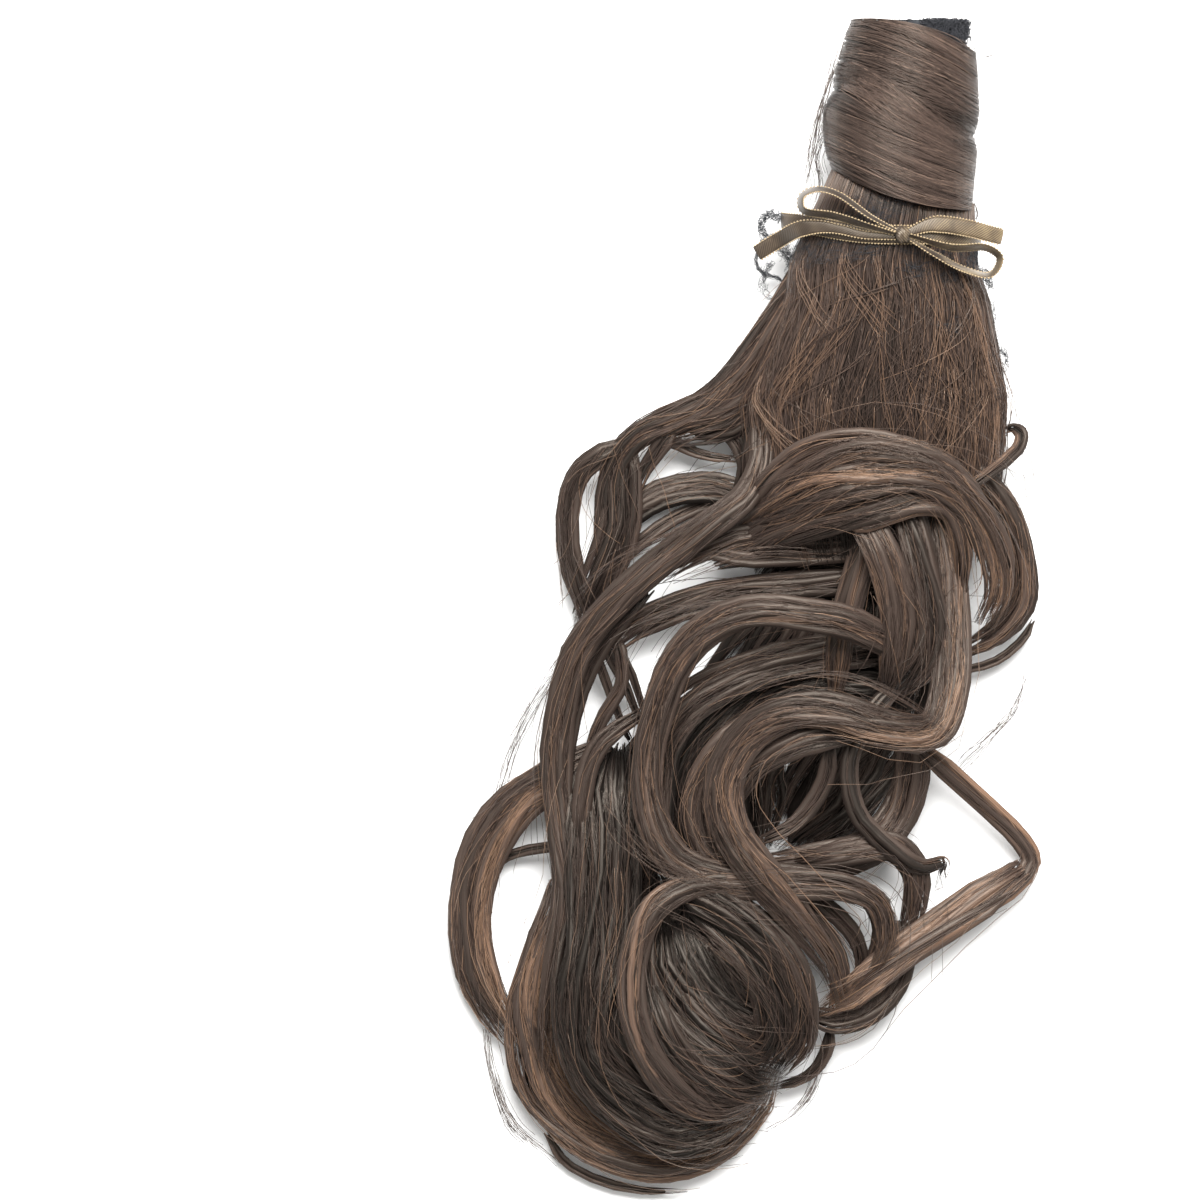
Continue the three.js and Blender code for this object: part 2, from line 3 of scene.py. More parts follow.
import bmesh
import bpy
import numpy as np
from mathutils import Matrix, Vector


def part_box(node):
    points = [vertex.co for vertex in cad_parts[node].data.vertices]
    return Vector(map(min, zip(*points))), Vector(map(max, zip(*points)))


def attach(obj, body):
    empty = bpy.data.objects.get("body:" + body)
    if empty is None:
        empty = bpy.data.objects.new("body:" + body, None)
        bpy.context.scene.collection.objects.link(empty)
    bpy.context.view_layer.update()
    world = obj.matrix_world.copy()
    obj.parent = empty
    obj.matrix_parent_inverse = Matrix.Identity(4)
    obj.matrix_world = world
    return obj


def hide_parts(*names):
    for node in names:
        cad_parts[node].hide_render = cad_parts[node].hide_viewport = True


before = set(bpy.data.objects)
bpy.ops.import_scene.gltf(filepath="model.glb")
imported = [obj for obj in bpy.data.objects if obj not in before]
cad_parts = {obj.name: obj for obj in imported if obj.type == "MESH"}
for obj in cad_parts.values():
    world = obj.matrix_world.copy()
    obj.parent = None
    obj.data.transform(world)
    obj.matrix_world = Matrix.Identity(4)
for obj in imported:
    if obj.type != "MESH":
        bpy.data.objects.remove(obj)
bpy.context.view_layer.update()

# The table: a plain white surface, lit by a bright even room and one broad soft lamp above the root end.
# The camera looks straight down on it, as the photograph does.
picture_width = 0.462
camera_height = 4
camera_place = (-0.0556, 0.0008)
sensor_width = 36
tail_height = 0.02
table_half = 3
room_light = 0.72
lamp_place = (0.15, 0.9, 1.4)
lamp_size = 1.2
lamp_power = 90


def plain_material(name, colour, roughness):
    material = bpy.data.materials.new(name)
    material.use_nodes = True
    shader = material.node_tree.nodes["Principled BSDF"]
    shader.inputs["Base Color"].default_value = (*colour, 1)
    shader.inputs["Roughness"].default_value = roughness
    return material


def mesh_object(name, mesh, material):
    piece = bpy.data.objects.new(name, mesh)
    bpy.context.scene.collection.objects.link(piece)
    mesh.materials.append(material)
    return piece


def from_bmesh(name, bm, material):
    mesh = bpy.data.meshes.new(name)
    bm.to_mesh(mesh)
    bm.free()
    return mesh_object(name, mesh, material)


table_shape = bmesh.new()
bmesh.ops.create_grid(table_shape, x_segments=1, y_segments=1, size=table_half)
table = from_bmesh("table", table_shape, plain_material("table_white", (0.9, 0.895, 0.885), 0.6))

room = bpy.data.worlds.new("room")
room.use_nodes = True
room.node_tree.nodes["Background"].inputs["Color"].default_value = (1, 0.995, 0.985, 1)
room.node_tree.nodes["Background"].inputs["Strength"].default_value = room_light
bpy.context.scene.world = room

window = bpy.data.lights.new("window_lamp", "AREA")
window.size = lamp_size
window.energy = lamp_power
window_lamp = bpy.data.objects.new("window_lamp", window)
window_lamp.location = lamp_place
window_lamp.rotation_euler = (-Vector(lamp_place)).to_track_quat("-Z", "Y").to_euler()
bpy.context.scene.collection.objects.link(window_lamp)

lens = bpy.data.cameras.new("camera")
lens.sensor_width = sensor_width
lens.lens = sensor_width * (camera_height - tail_height) / picture_width
camera = bpy.data.objects.new("camera", lens)
camera.location = (*camera_place, camera_height)
bpy.context.scene.collection.objects.link(camera)
bpy.context.scene.camera = camera
bpy.context.scene.view_settings.view_transform = "Standard"

# The cuff: a short tube of stiff black net that closes round the wearer's hair by its own hooks and loops.
# Its edge is cut through the mesh, so that short threads stand out of it.
cuff_half_width = 20.5
cuff_half_height = 16.25
cuff_lean = 5
cuff_length = 58
wrap_thickness = 9.75
cuff_low, cuff_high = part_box("cuff")
axis_height = cuff_half_height + wrap_thickness
# From here on places are in millimetres, counted from here: across from the knot, along towards the root
# (down is negative) and up from the table.
origin = np.array([
    cuff_low.x * 1000 + cuff_half_width,
    cuff_high.y * 1000,
    (cuff_low.z + cuff_high.z) * 500 - axis_height,
])
UP = np.array([0.0, 0.0, 1.0])
ALONG = np.array([0.0, 1.0, 0.0])


def unit(vectors):
    return vectors / np.maximum(np.linalg.norm(vectors, axis=-1, keepdims=True), 1e-9)


# A group of equal threads: their middle lines (threads, places, 3), half width and half height at each
# place, a tone from 0 (dark) to 1 (light) at each place, and the direction that their width is square to.
Threads = namedtuple("Threads", "lines half_width half_height tone square_to")


def thread_mesh(name, groups, material, sides=3):
    """Joins groups of threads into one mesh of closed tubes, with a tone and a lay (millimetres across and
    along each thread) for the materials."""
    places, tones, lays, corners, lengths = [], [], [], [], []
    first = 0
    for group in groups:
        lines = np.asarray(group.lines, float)
        count, steps = lines.shape[:2]
        along = unit(np.gradient(lines, axis=1))
        side = unit(np.cross(along, group.square_to))
        below = np.cross(along, side)
        half_width = np.broadcast_to(group.half_width, (count, steps))
        half_height = np.broadcast_to(group.half_height, (count, steps))
        angles = 2 * np.pi * np.arange(sides) / sides - np.pi / 2
        rings = lines[:, :, None] + (
            side[:, :, None] * (half_width[:, :, None] * np.cos(angles))[..., None]
            + below[:, :, None] * (half_height[:, :, None] * np.sin(angles))[..., None]
        )
        start = lines[:, :1] - along[:, :1] * half_width[:, :1, None]
        end = lines[:, -1:] + along[:, -1:] * half_width[:, -1:, None]
        places.append(np.concatenate([rings.reshape(count, -1, 3), start, end], axis=1).reshape(-1, 3))
        tone = np.repeat(np.broadcast_to(group.tone, (count, steps)), sides, axis=1)
        tones.append(np.concatenate([tone, tone[:, :1], tone[:, -1:]], axis=1).ravel())
        apart = 9.7 * (np.arange(count)[:, None, None] % 83) + 1.3 * len(lays)
        across = apart + half_width[:, :, None] * np.cos(angles)
        steps_along = np.linalg.norm(np.diff(lines, axis=1, prepend=lines[:, :1]), axis=-1)
        distance = apart + np.cumsum(steps_along, axis=1)[..., None] + 0 * angles
        lay = np.stack([across, distance, 0 * across], axis=-1).reshape(count, -1, 3)
        lays.append(np.concatenate([lay, lay[:, :1], lay[:, -1:]], axis=1).reshape(-1, 3))

        size = steps * sides + 2
        base = first + size * np.arange(count)[:, None]
        ring, corner = np.meshgrid(np.arange(steps - 1), np.arange(sides), indexing="ij")
        here, turned = (ring * sides + corner).ravel(), (ring * sides + (corner + 1) % sides).ravel()
        quads = np.stack([here, turned, turned + sides, here + sides], axis=1)
        around = np.arange(sides)
        opening = np.stack([np.full(sides, size - 2), (around + 1) % sides, around], axis=1)
        last = (steps - 1) * sides
        closing = np.stack([np.full(sides, size - 1), last + around, last + (around + 1) % sides], axis=1)
        for faces in (quads, opening, closing):
            corners.append((base[:, :, None] + faces[None]).reshape(-1))
            lengths.append(np.full(count * len(faces), faces.shape[1]))
        first += size * count

    mesh = bpy.data.meshes.new(name)
    vertices = ((np.concatenate(places) + origin) / 1000).astype(np.float32)
    loops, sizes = np.concatenate(corners).astype(np.int32), np.concatenate(lengths).astype(np.int32)
    mesh.vertices.add(len(vertices))
    mesh.vertices.foreach_set("co", vertices.ravel())
    mesh.loops.add(len(loops))
    mesh.loops.foreach_set("vertex_index", loops)
    mesh.polygons.add(len(sizes))
    mesh.polygons.foreach_set("loop_start", np.concatenate([[0], np.cumsum(sizes)[:-1]]).astype(np.int32))
    mesh.polygons.foreach_set("use_smooth", np.ones(len(sizes), bool))
    mesh.update(calc_edges=True)
    attribute = mesh.attributes.new("tone", "FLOAT", "POINT")
    attribute.data.foreach_set("value", np.concatenate(tones).astype(np.float32))
    attribute = mesh.attributes.new("lay", "FLOAT_VECTOR", "POINT")
    attribute.data.foreach_set("vector", np.concatenate(lays).astype(np.float32).ravel())
    return mesh_object(name, mesh, material)


def sway(rng, count, along, period):
    """A slow random sway of each thread, between about -1 and 1, at distances along it."""
    total = 0
    for part, share in ((1, 0.62), (0.53, 0.3), (0.29, 0.16)):
        waves = period * part * rng.uniform(0.8, 1.25, (count, 1))
        total = total + share * np.sin(2 * np.pi * (along / waves + rng.random((count, 1))))
    return total


def on_oval(centre, half_width, half_height, angle, down):
    """A point on an upright oval across the piece, at an angle from its top."""
    down, angle = np.broadcast_arrays(down, angle)
    across = centre + np.sin(angle) * half_width
    return np.stack([across, -down, axis_height + np.cos(angle) * half_height], axis=-1)


def on_cuff(angle, outward, down):
    centre = cuff_lean * (1 - down / cuff_length)
    return on_oval(centre, cuff_half_width + outward, cuff_half_height + outward, angle, down)


def add_node(tree, kind, values=None, **settings):
    """A shader node with its settings, and values on its inputs by name or number."""
    node = tree.nodes.new("ShaderNode" + kind)
    for name, value in settings.items():
        setattr(node, name, value)
    for name, value in (values or {}).items():
        node.inputs[name].default_value = value
    return node


def add_finish(material, colour, height, strength, distance):
    """Feeds a material's shader with a colour, and with relief from a height."""
    tree = material.node_tree
    shader = tree.nodes["Principled BSDF"]
    relief = add_node(tree, "Bump", {"Strength": strength, "Distance": distance})
    tree.links.new(colour, shader.inputs["Base Color"])
    tree.links.new(height, relief.inputs["Height"])
    tree.links.new(relief.outputs["Normal"], shader.inputs["Normal"])
    return shader


def net_material(name, dark, light, roughness):
    material = plain_material(name, light, roughness)
    tree = material.node_tree
    place = add_node(tree, "TexCoord")
    weave = add_node(tree, "TexVoronoi", {"Scale": 700})
    tree.links.new(place.outputs["Object"], weave.inputs["Vector"])
    colours = add_node(tree, "ValToRGB")
    colours.color_ramp.elements[0].color = (*light, 1)
    colours.color_ramp.elements[1].color = (*dark, 1)
    colours.color_ramp.elements[1].position = 0.8
    tree.links.new(weave.outputs["Distance"], colours.inputs["Fac"])
    add_finish(material, colours.outputs["Color"], weave.outputs["Distance"], 0.8, 0.0006)
    return material


cuff_net = net_material("cuff_net", (0.008, 0.009, 0.011), (0.03, 0.033, 0.038), 0.85)
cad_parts["cuff"].data.materials.clear()
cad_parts["cuff"].data.materials.append(cuff_net)

# The net's cut edge at the mouth, which stands out of the wound hair at its right: short black threads,
# curled over one another into a dense fringe.
rng = np.random.default_rng(11)
fringe_count = 420
fringe_steps = 7
fringe_length = 10
fringe_rise = 1.6
fringe_half_width = 0.16
fringe_at_right = 0.75
fringe_angle = np.where(
    rng.random(fringe_count) < fringe_at_right,
    rng.uniform(0.15, 1.25, fringe_count),
    rng.uniform(-3.1, 3.1, fringe_count),
)[:, None]
fringe_share = np.linspace(0, 1, fringe_steps)[None]
fringe_curl = fringe_share * 9
fringe_down = 1.5 + rng.uniform(0, fringe_length, (fringe_count, 1)) * fringe_share
fringe_down = fringe_down + sway(rng, fringe_count, fringe_curl, 7) * 1.2 - 1.4
fringe_out = 0.3 + fringe_rise * fringe_share + sway(rng, fringe_count, fringe_curl, 6) * 1.1
fringe_turn = fringe_angle + sway(rng, fringe_count, fringe_curl, 7) * 0.09
fringe = on_cuff(fringe_turn, fringe_out, fringe_down)
fringe_tone = rng.uniform(0, 1, (fringe_count, 1))


def tone_group(name, colours, second):
    """A group that takes named colours and gives out a Color and a second, plain number."""
    tree = bpy.data.node_groups.new(name, "ShaderNodeTree")
    for colour in colours:
        tree.interface.new_socket(colour, in_out="INPUT", socket_type="NodeSocketColor")
    tree.interface.new_socket("Color", in_out="OUTPUT", socket_type="NodeSocketColor")
    tree.interface.new_socket(second, in_out="OUTPUT", socket_type="NodeSocketFloat")
    return tree, tree.nodes.new("NodeGroupInput"), tree.nodes.new("NodeGroupOutput")


def thread_tone_group():
    """The colour of thread from its tone, dark to light, with a fine fuzz over it."""
    tree, given, result = tone_group("thread_tone", ("Dark", "Light"), "Fuzz")
    link = tree.links.new
    place = add_node(tree, "TexCoord")
    fuzz = add_node(tree, "TexNoise", {"Scale": 900})
    link(place.outputs["Object"], fuzz.inputs["Vector"])
    tone = add_node(tree, "Attribute", attribute_name="tone")
    share = add_node(tree, "Math", {1: 0.5}, operation="MULTIPLY_ADD")
    link(tone.outputs["Fac"], share.inputs[0])
    link(fuzz.outputs["Fac"], share.inputs[2])
    mix = add_node(tree, "Mix", data_type="RGBA")
    link(share.outputs["Value"], mix.inputs["Factor"])
    link(given.outputs["Dark"], mix.inputs["A"])
    link(given.outputs["Light"], mix.inputs["B"])
    link(mix.outputs["Result"], result.inputs["Color"])
    link(fuzz.outputs["Fac"], result.inputs["Fuzz"])
    return tree


thread_tone = thread_tone_group()


def toned_material(name, group, second, colours, roughness, strength, distance):
    """A material in a tone group's colours, with relief from the group's second output."""
    material = plain_material(name, list(colours.values())[1], roughness)
    tone = add_node(material.node_tree, "Group", node_tree=group)
    for socket, colour in colours.items():
        tone.inputs[socket].default_value = (*colour, 1)
    add_finish(material, tone.outputs["Color"], tone.outputs[second], strength, distance)
    return material


def thread_material(name, dark, light, roughness):
    colours = {"Dark": dark, "Light": light}
    return toned_material(name, thread_tone, "Fuzz", colours, roughness, 0.4, 0.0002)


thread_black = thread_material("thread_black", (0.007, 0.0075, 0.009), (0.019, 0.02, 0.025), 0.8)
cuff_fringe = thread_mesh(
    "cuff_fringe", [Threads(fringe, fringe_half_width, fringe_half_width, fringe_tone, UP)], thread_black
)
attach(cuff_fringe, "root")

# The wrap: one long lock of the hair, wound three times round the cuff and pulled smooth. It was wound down
# towards the right, so its strands slope that way on the side that shows, and its last end is tucked in.
wrap_length = 67
wrap_radius = 26
wrap_fullness = [(0, 0.3), (0.06, 0.45), (0.3, 0.76), (0.52, 1), (0.78, 0.92), (1, 0.76)]
wrap_lean = [(0, 0.8), (0.3, 0.38), (0.55, 0), (1, 0)]
Edge = namedtuple("Edge", "down slant sag")
wrap_edges = [Edge(0.066, 0.08, -4), Edge(0.52, 0.143, 0), Edge(0.77, 0.143, 1.5), Edge(0.98, 0.12, 4)]
wound_steps = 30
wound_clumps = 30
hair_half_width = 0.17
hair_half_height = 0.14


def read_table(rows, where):
    places, values = zip(*rows)
    return np.interp(where, places, values)


def on_wrap(angle, down, sunk=0):
    share = down / wrap_length
    thickness = wrap_thickness * read_table(wrap_fullness, share) - sunk
    centre = cuff_lean * read_table(wrap_lean, share)
    return on_oval(centre, cuff_half_width + thickness, cuff_half_height + thickness, angle, down)


def edge_down(edge, across):
    share = across / (cuff_half_width + wrap_thickness)
    return wrap_length * (edge.down + edge.slant * share) + edge.sag * (1 - 1.2 * share**2)


def strand_tone_group():
    """The colour of hair from its tone (dark, brown, bleached caramel) streaked along its lay; dark also
    stands for painted shade.
    """
    tree, given, result = tone_group("strand_tone", ("Shade", "Brown", "Caramel"), "Streak")
    link = tree.links.new
    tone = add_node(tree, "Attribute", attribute_name="tone")
    lay = add_node(tree, "Attribute", attribute_name="lay")
    drawn_out = add_node(tree, "Mapping", {"Scale": (0.9, 0.03, 1)})
    link(lay.outputs["Vector"], drawn_out.inputs["Vector"])
    streak = add_node(tree, "TexNoise", {"Scale": 1, "Detail": 3, "Roughness": 0.75})
    link(drawn_out.outputs["Vector"], streak.inputs["Vector"])
    spread = add_node(tree, "MapRange", {"From Min": 0.25, "From Max": 0.75, "To Min": -0.2, "To Max": 0.2})
    link(streak.outputs["Fac"], spread.inputs["Value"])
    total = add_node(tree, "Math")
    link(tone.outputs["Fac"], total.inputs[0])
    link(spread.outputs["Result"], total.inputs[1])
    colour = given.outputs["Shade"]
    for name, low, high in (("Brown", 0, 0.55), ("Caramel", 0.6, 1)):
        step = add_node(tree, "MapRange", {"From Min": low, "From Max": high})
        link(total.outputs["Value"], step.inputs["Value"])
        mix = add_node(tree, "Mix", data_type="RGBA")
        link(step.outputs["Result"], mix.inputs["Factor"])
        link(colour, mix.inputs["A"])
        link(given.outputs[name], mix.inputs["B"])
        colour = mix.outputs["Result"]
    link(colour, result.inputs["Color"])
    link(streak.outputs["Fac"], result.inputs["Streak"])
    return tree


strand_tone = strand_tone_group()


def hair_material(name, shade, brown, caramel, roughness, gloss=0.42):
    colours = {"Shade": shade, "Brown": brown, "Caramel": caramel}
    material = toned_material(name, strand_tone, "Streak", colours, roughness, 0.5, 0.0004)
    shader = material.node_tree.nodes["Principled BSDF"]
    shader.inputs["Specular IOR Level"].default_value = gloss
    shader.inputs["Specular Tint"].default_value = (1, 0.87, 0.74, 1)
    return material


wound_hair = hair_material(
    "wound_hair", (0.012, 0.0085, 0.0075), (0.068, 0.046, 0.037), (0.23, 0.155, 0.115), 0.32
)


def wound_strands(rng, upper, lower, count, band, seam, taper):
    """Strands of one turn, from its left side over the top to its right side, and back underneath."""
    angle = np.linspace(-np.pi, np.pi, wound_steps)[None]
    run = angle * wrap_radius
    clumps = rng.uniform(*band, wound_clumps)
    clump_tone = rng.normal(0.46, 0.1, wound_clumps)
    clump_slope = rng.normal(0.12, 0.07, wound_clumps)
    clump = rng.integers(0, wound_clumps, count)
    share = clumps[clump][:, None] + rng.normal(0, 0.045, (count, 1))
    share = share + clump_slope[clump][:, None] * np.sin(angle / 2) * np.cos(angle / 2) * 2
    share = share + 0.02 * sway(rng, count, run, 70)
    dive = np.clip(np.abs(share - 0.5) * 2 - 0.9, 0, None)
    share = np.clip(share, 0.012, 0.988)
    across = np.zeros_like(share)
    for _ in range(4):
        down = (1 - share) * edge_down(upper, across) + share * edge_down(lower, across)
        across = on_wrap(angle, down)[..., 0]
    depth = rng.uniform(0, 1, (count, 1)) ** 1.5 + 0.2 * sway(rng, count, run, 50)
    rim = np.clip(share * seam + 0.25 - np.maximum(seam, 0), 0, 0.25) / 0.25 * abs(seam)
    left = np.clip(-np.sin(angle), 0, 1) * np.clip((share - 0.6) / 0.4, 0, 1) ** 2
    sunk = (0.5 + 1.4 * np.sin(angle) ** 2) * rim**2 + 2 * dive + 0.8 * depth + taper * left
    lines = on_wrap(angle, down, np.maximum(sunk, 0.1))
    tone = clump_tone[clump][:, None] + rng.normal(0, 0.12, (count, 1)) + 0.06 * sway(rng, count, run, 60)
    # Strands deep in the turn and at the seam's rim are darker: painted shade in the seam.
    tone = tone - 0.2 * np.clip(depth, 0, 1) - 0.55 * rim * np.sin(angle) ** 2
    # The left side of each turn is darker: painted shade on the side away from the light.
    tone = tone - 0.13 * np.clip(0.3 - np.sin(angle), 0, 1)
    tone = tone + np.where(rng.random((count, 1)) < 0.06, 0.22, 0)
    return Threads(lines, hair_half_width, hair_half_height, tone, ALONG)


def crossing_strands(rng, edge, count):
    """Strands pulled over the seam between two turns: above it at the left and below it at the right."""
    angle = np.linspace(-1.5, 1.5, 22)[None] + rng.uniform(-0.1, 0.1, (count, 1))
    leave, arrive = rng.uniform(-13, -2, (count, 1)), rng.uniform(1, 15, (count, 1))
    middle = rng.normal(0, 0.3, (count, 1))
    blend = 1 / (1 + np.exp(-3.2 * (np.sin(angle) - middle)))
    across = np.sin(angle) * cuff_half_width * 1.4
    down = edge_down(edge, across) + leave + (arrive - leave) * blend
    down = down + 0.4 * sway(rng, count, angle * wrap_radius, 60)
    lines = on_wrap(angle, down, 0.1 + rng.uniform(0, 0.4, (count, 1)) + 2 * np.sin(angle) ** 6)
    tone = rng.normal(0.5, 0.16, (count, 1))
    return Threads(lines, hair_half_width, hair_half_height, tone, ALONG)


def wound_core(upper, lower):
    """A closed ring under the strands of a turn, dark with painted shade, so that nothing shines through
    them.
    """
    turned = bmesh.new()
    tone, lay = turned.verts.layers.float.new("tone"), turned.verts.layers.float_vector.new("lay")
    angles = np.linspace(0, 2 * np.pi, 56, endpoint=False)
    shares = np.array([0.04, 0.2, 0.5, 0.8, 0.96])
    rings = []
    for wall, row in ((1, shares), (0, shares[::-1])):
        for share in row:
            across = np.zeros_like(angles)
            for _ in range(4):
                down = (1 - share) * edge_down(upper, across) + share * edge_down(lower, across)
                across = on_wrap(angles, down)[:, 0]
            sunk = 1.2 + 3.4 * np.clip(share - 0.6, 0, 1) * (lower is wrap_edges[3])
            points = on_wrap(angles, down, sunk) if wall else on_cuff(angles, 0.3, down)
            rings.append([turned.verts.new((point + origin) / 1000) for point in points])
            for k, vertex in enumerate(rings[-1]):
                vertex[tone] = 0.2 * wall
                vertex[lay] = (down[k], wrap_radius * angles[k], 0)
    for one, other in zip(rings, [*rings[1:], rings[0]]):
        for k in range(len(angles)):
            turned.faces.new([one[k], other[k], other[k - 1], one[k - 1]])
    bmesh.ops.recalc_face_normals(turned, faces=turned.faces)
    for face in turned.faces:
        face.smooth = True
    return turned


# The hair inside and under the strands is a darker, duller copy of the hair: painted shade, on the wrap's
# cores, the locks' tresses and hearts, and the fan's inside bundle.
under_hair = hair_material(
    "under_hair", (0.005, 0.0038, 0.0033), (0.044, 0.03, 0.024), (0.17, 0.1, 0.065), 0.38, gloss=0.3
)
# Each turn: its node, its edges, how many strands it has, the band of shares that they lie in, and how
# much it tapers at its lower left. The one seam that shows is at the lower edge of the first turn (1) and
# the upper edge of the second (-1): the two lower turns lie smoothly together.
Turn = namedtuple("Turn", "name upper lower count band seam taper")
turns = [
    Turn("wrap_turn_upper", wrap_edges[0], wrap_edges[1], 340, (0, 1), 1, 0),
    Turn("wrap_turn_middle", wrap_edges[1], wrap_edges[3], 220, (0, 0.5), -1, 0),
    Turn("wrap_turn_lower", wrap_edges[1], wrap_edges[3], 240, (0.48, 1), 0, 3),
]
for k, turn in enumerate(turns):
    rng = np.random.default_rng(20 + k)
    groups = [wound_strands(rng, turn.upper, turn.lower, turn.count, turn.band, turn.seam, turn.taper)]
    if turn.name == "wrap_turn_upper":
        groups.append(crossing_strands(rng, turn.lower, 130))
    strands = thread_mesh(turn.name + "_strands", groups, wound_hair)
    core = from_bmesh(turn.name + "_core", wound_core(wrap_edges[k], wrap_edges[k + 1]), under_hair)
    for piece in (strands, core):
        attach(piece, "root")
        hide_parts(turn.name)

# The fan: the hair leaves the wound lock as a flat neck, combed straight, and spreads downwards. Its
# strands run from under the wrap, through the net band, to the curls.
neck_top = 60
neck_length = 33
neck_half_width = 28
neck_half_height = 18
neck_flare = 8
neck_lean = 7
tail_top = 63
tail_length = 383
tail_spread = 229
lay_spread = 594
pile_height = 50
lock_width = 13
lock_thickness = 9
mass_fullness = [(0, 0.4), (0.08, 0.85), (0.16, 1), (0.85, 1), (1, 0.4)]
roll_fullness = [(0, 0.12), (0.1, 0.38), (0.22, 0.95), (0.45, 1), (0.6, 0.72), (0.75, 0.5), (1, 0.35)]
lock_fullness = [(0, 0.6), (0.12, 1), (0.8, 1), (0.93, 0.75), (1, 0.35)]
strands_per_mm = 8
tress_spacing = 2.1
tress_half_width = 2.0
tress_half_height = 0.9
tress_step_turn = 0.25
tress_step_length = 28
stray_share = 0.06
stray_reach = 16
root_shade = 0.4
root_length = 20
tip_length = 14
strand_reach = np.array([119, 229])
# A lock's route goes through a few places, each across, down and height: across and down are thousandths
# of the tail's length, from the middle of the neck and from the foot of the wrap, and height is a
# percentage of the pile's. Width and thickness are in usual locks, and the tone shift moves its strands'
# tone: up for lighter, more caramel locks, and down, as painted shade, for locks that lie in shadow
# under others (the interior, mass, bowl, heart, dome and floor locks).
Lock = namedtuple("Lock", "name width thick warmth route fullness", defaults=[lock_fullness])


def too_far(lines):
    """Which strands leave the tail's box, counted from its middle."""
    return (np.abs(lines[..., :2] + origin[:2]) > strand_reach).any(axis=(1, 2))


def lay_point(place, half_thickness):
    across, down, height = place
    x = across / lay_spread * tail_spread
    return x, -(tail_top + down / 1000 * tail_length), max(height / 100 * pile_height, half_thickness)


def smooth_line(places, samples=260):
    """Evenly spaced points on a centripetal Catmull-Rom curve through the places, and its length."""
    p = np.asarray(places, float)
    p = np.vstack([2 * p[0] - p[1], p, 2 * p[-1] - p[-2]])
    gap = np.sqrt(np.linalg.norm(np.diff(p, axis=0), axis=1))
    t = np.linspace(0, 1, 24, endpoint=False)[:, None]
    parts = []
    for k in range(1, len(p) - 2):
        before, here, after = gap[k - 1 : k + 2]
        last, start, end, coming = p[k - 1 : k + 3]
        step = end - start
        leave = (start - last) / before - (end - last) / (before + here) + step / here
        reach = step / here - (coming - start) / (here + after) + (coming - end) / after
        leave, reach = leave * here, reach * here
        bend, twist = 3 * step - 2 * leave - reach, leave + reach - 2 * step
        parts.append(start + leave * t + bend * t**2 + twist * t**3)
    line = np.vstack([*parts, p[-2:-1]])
    distance = np.concatenate([[0], np.cumsum(np.linalg.norm(np.diff(line, axis=0), axis=1))])
    even = np.linspace(0, distance[-1], samples)
    return np.stack([np.interp(even, distance, line[:, axis]) for axis in range(3)], axis=1), distance[-1]


def table_at(table, shares):
    places = np.linspace(0, 1, len(table))
    return np.stack([np.interp(shares, places, table[:, axis]) for axis in range(3)], axis=-1)


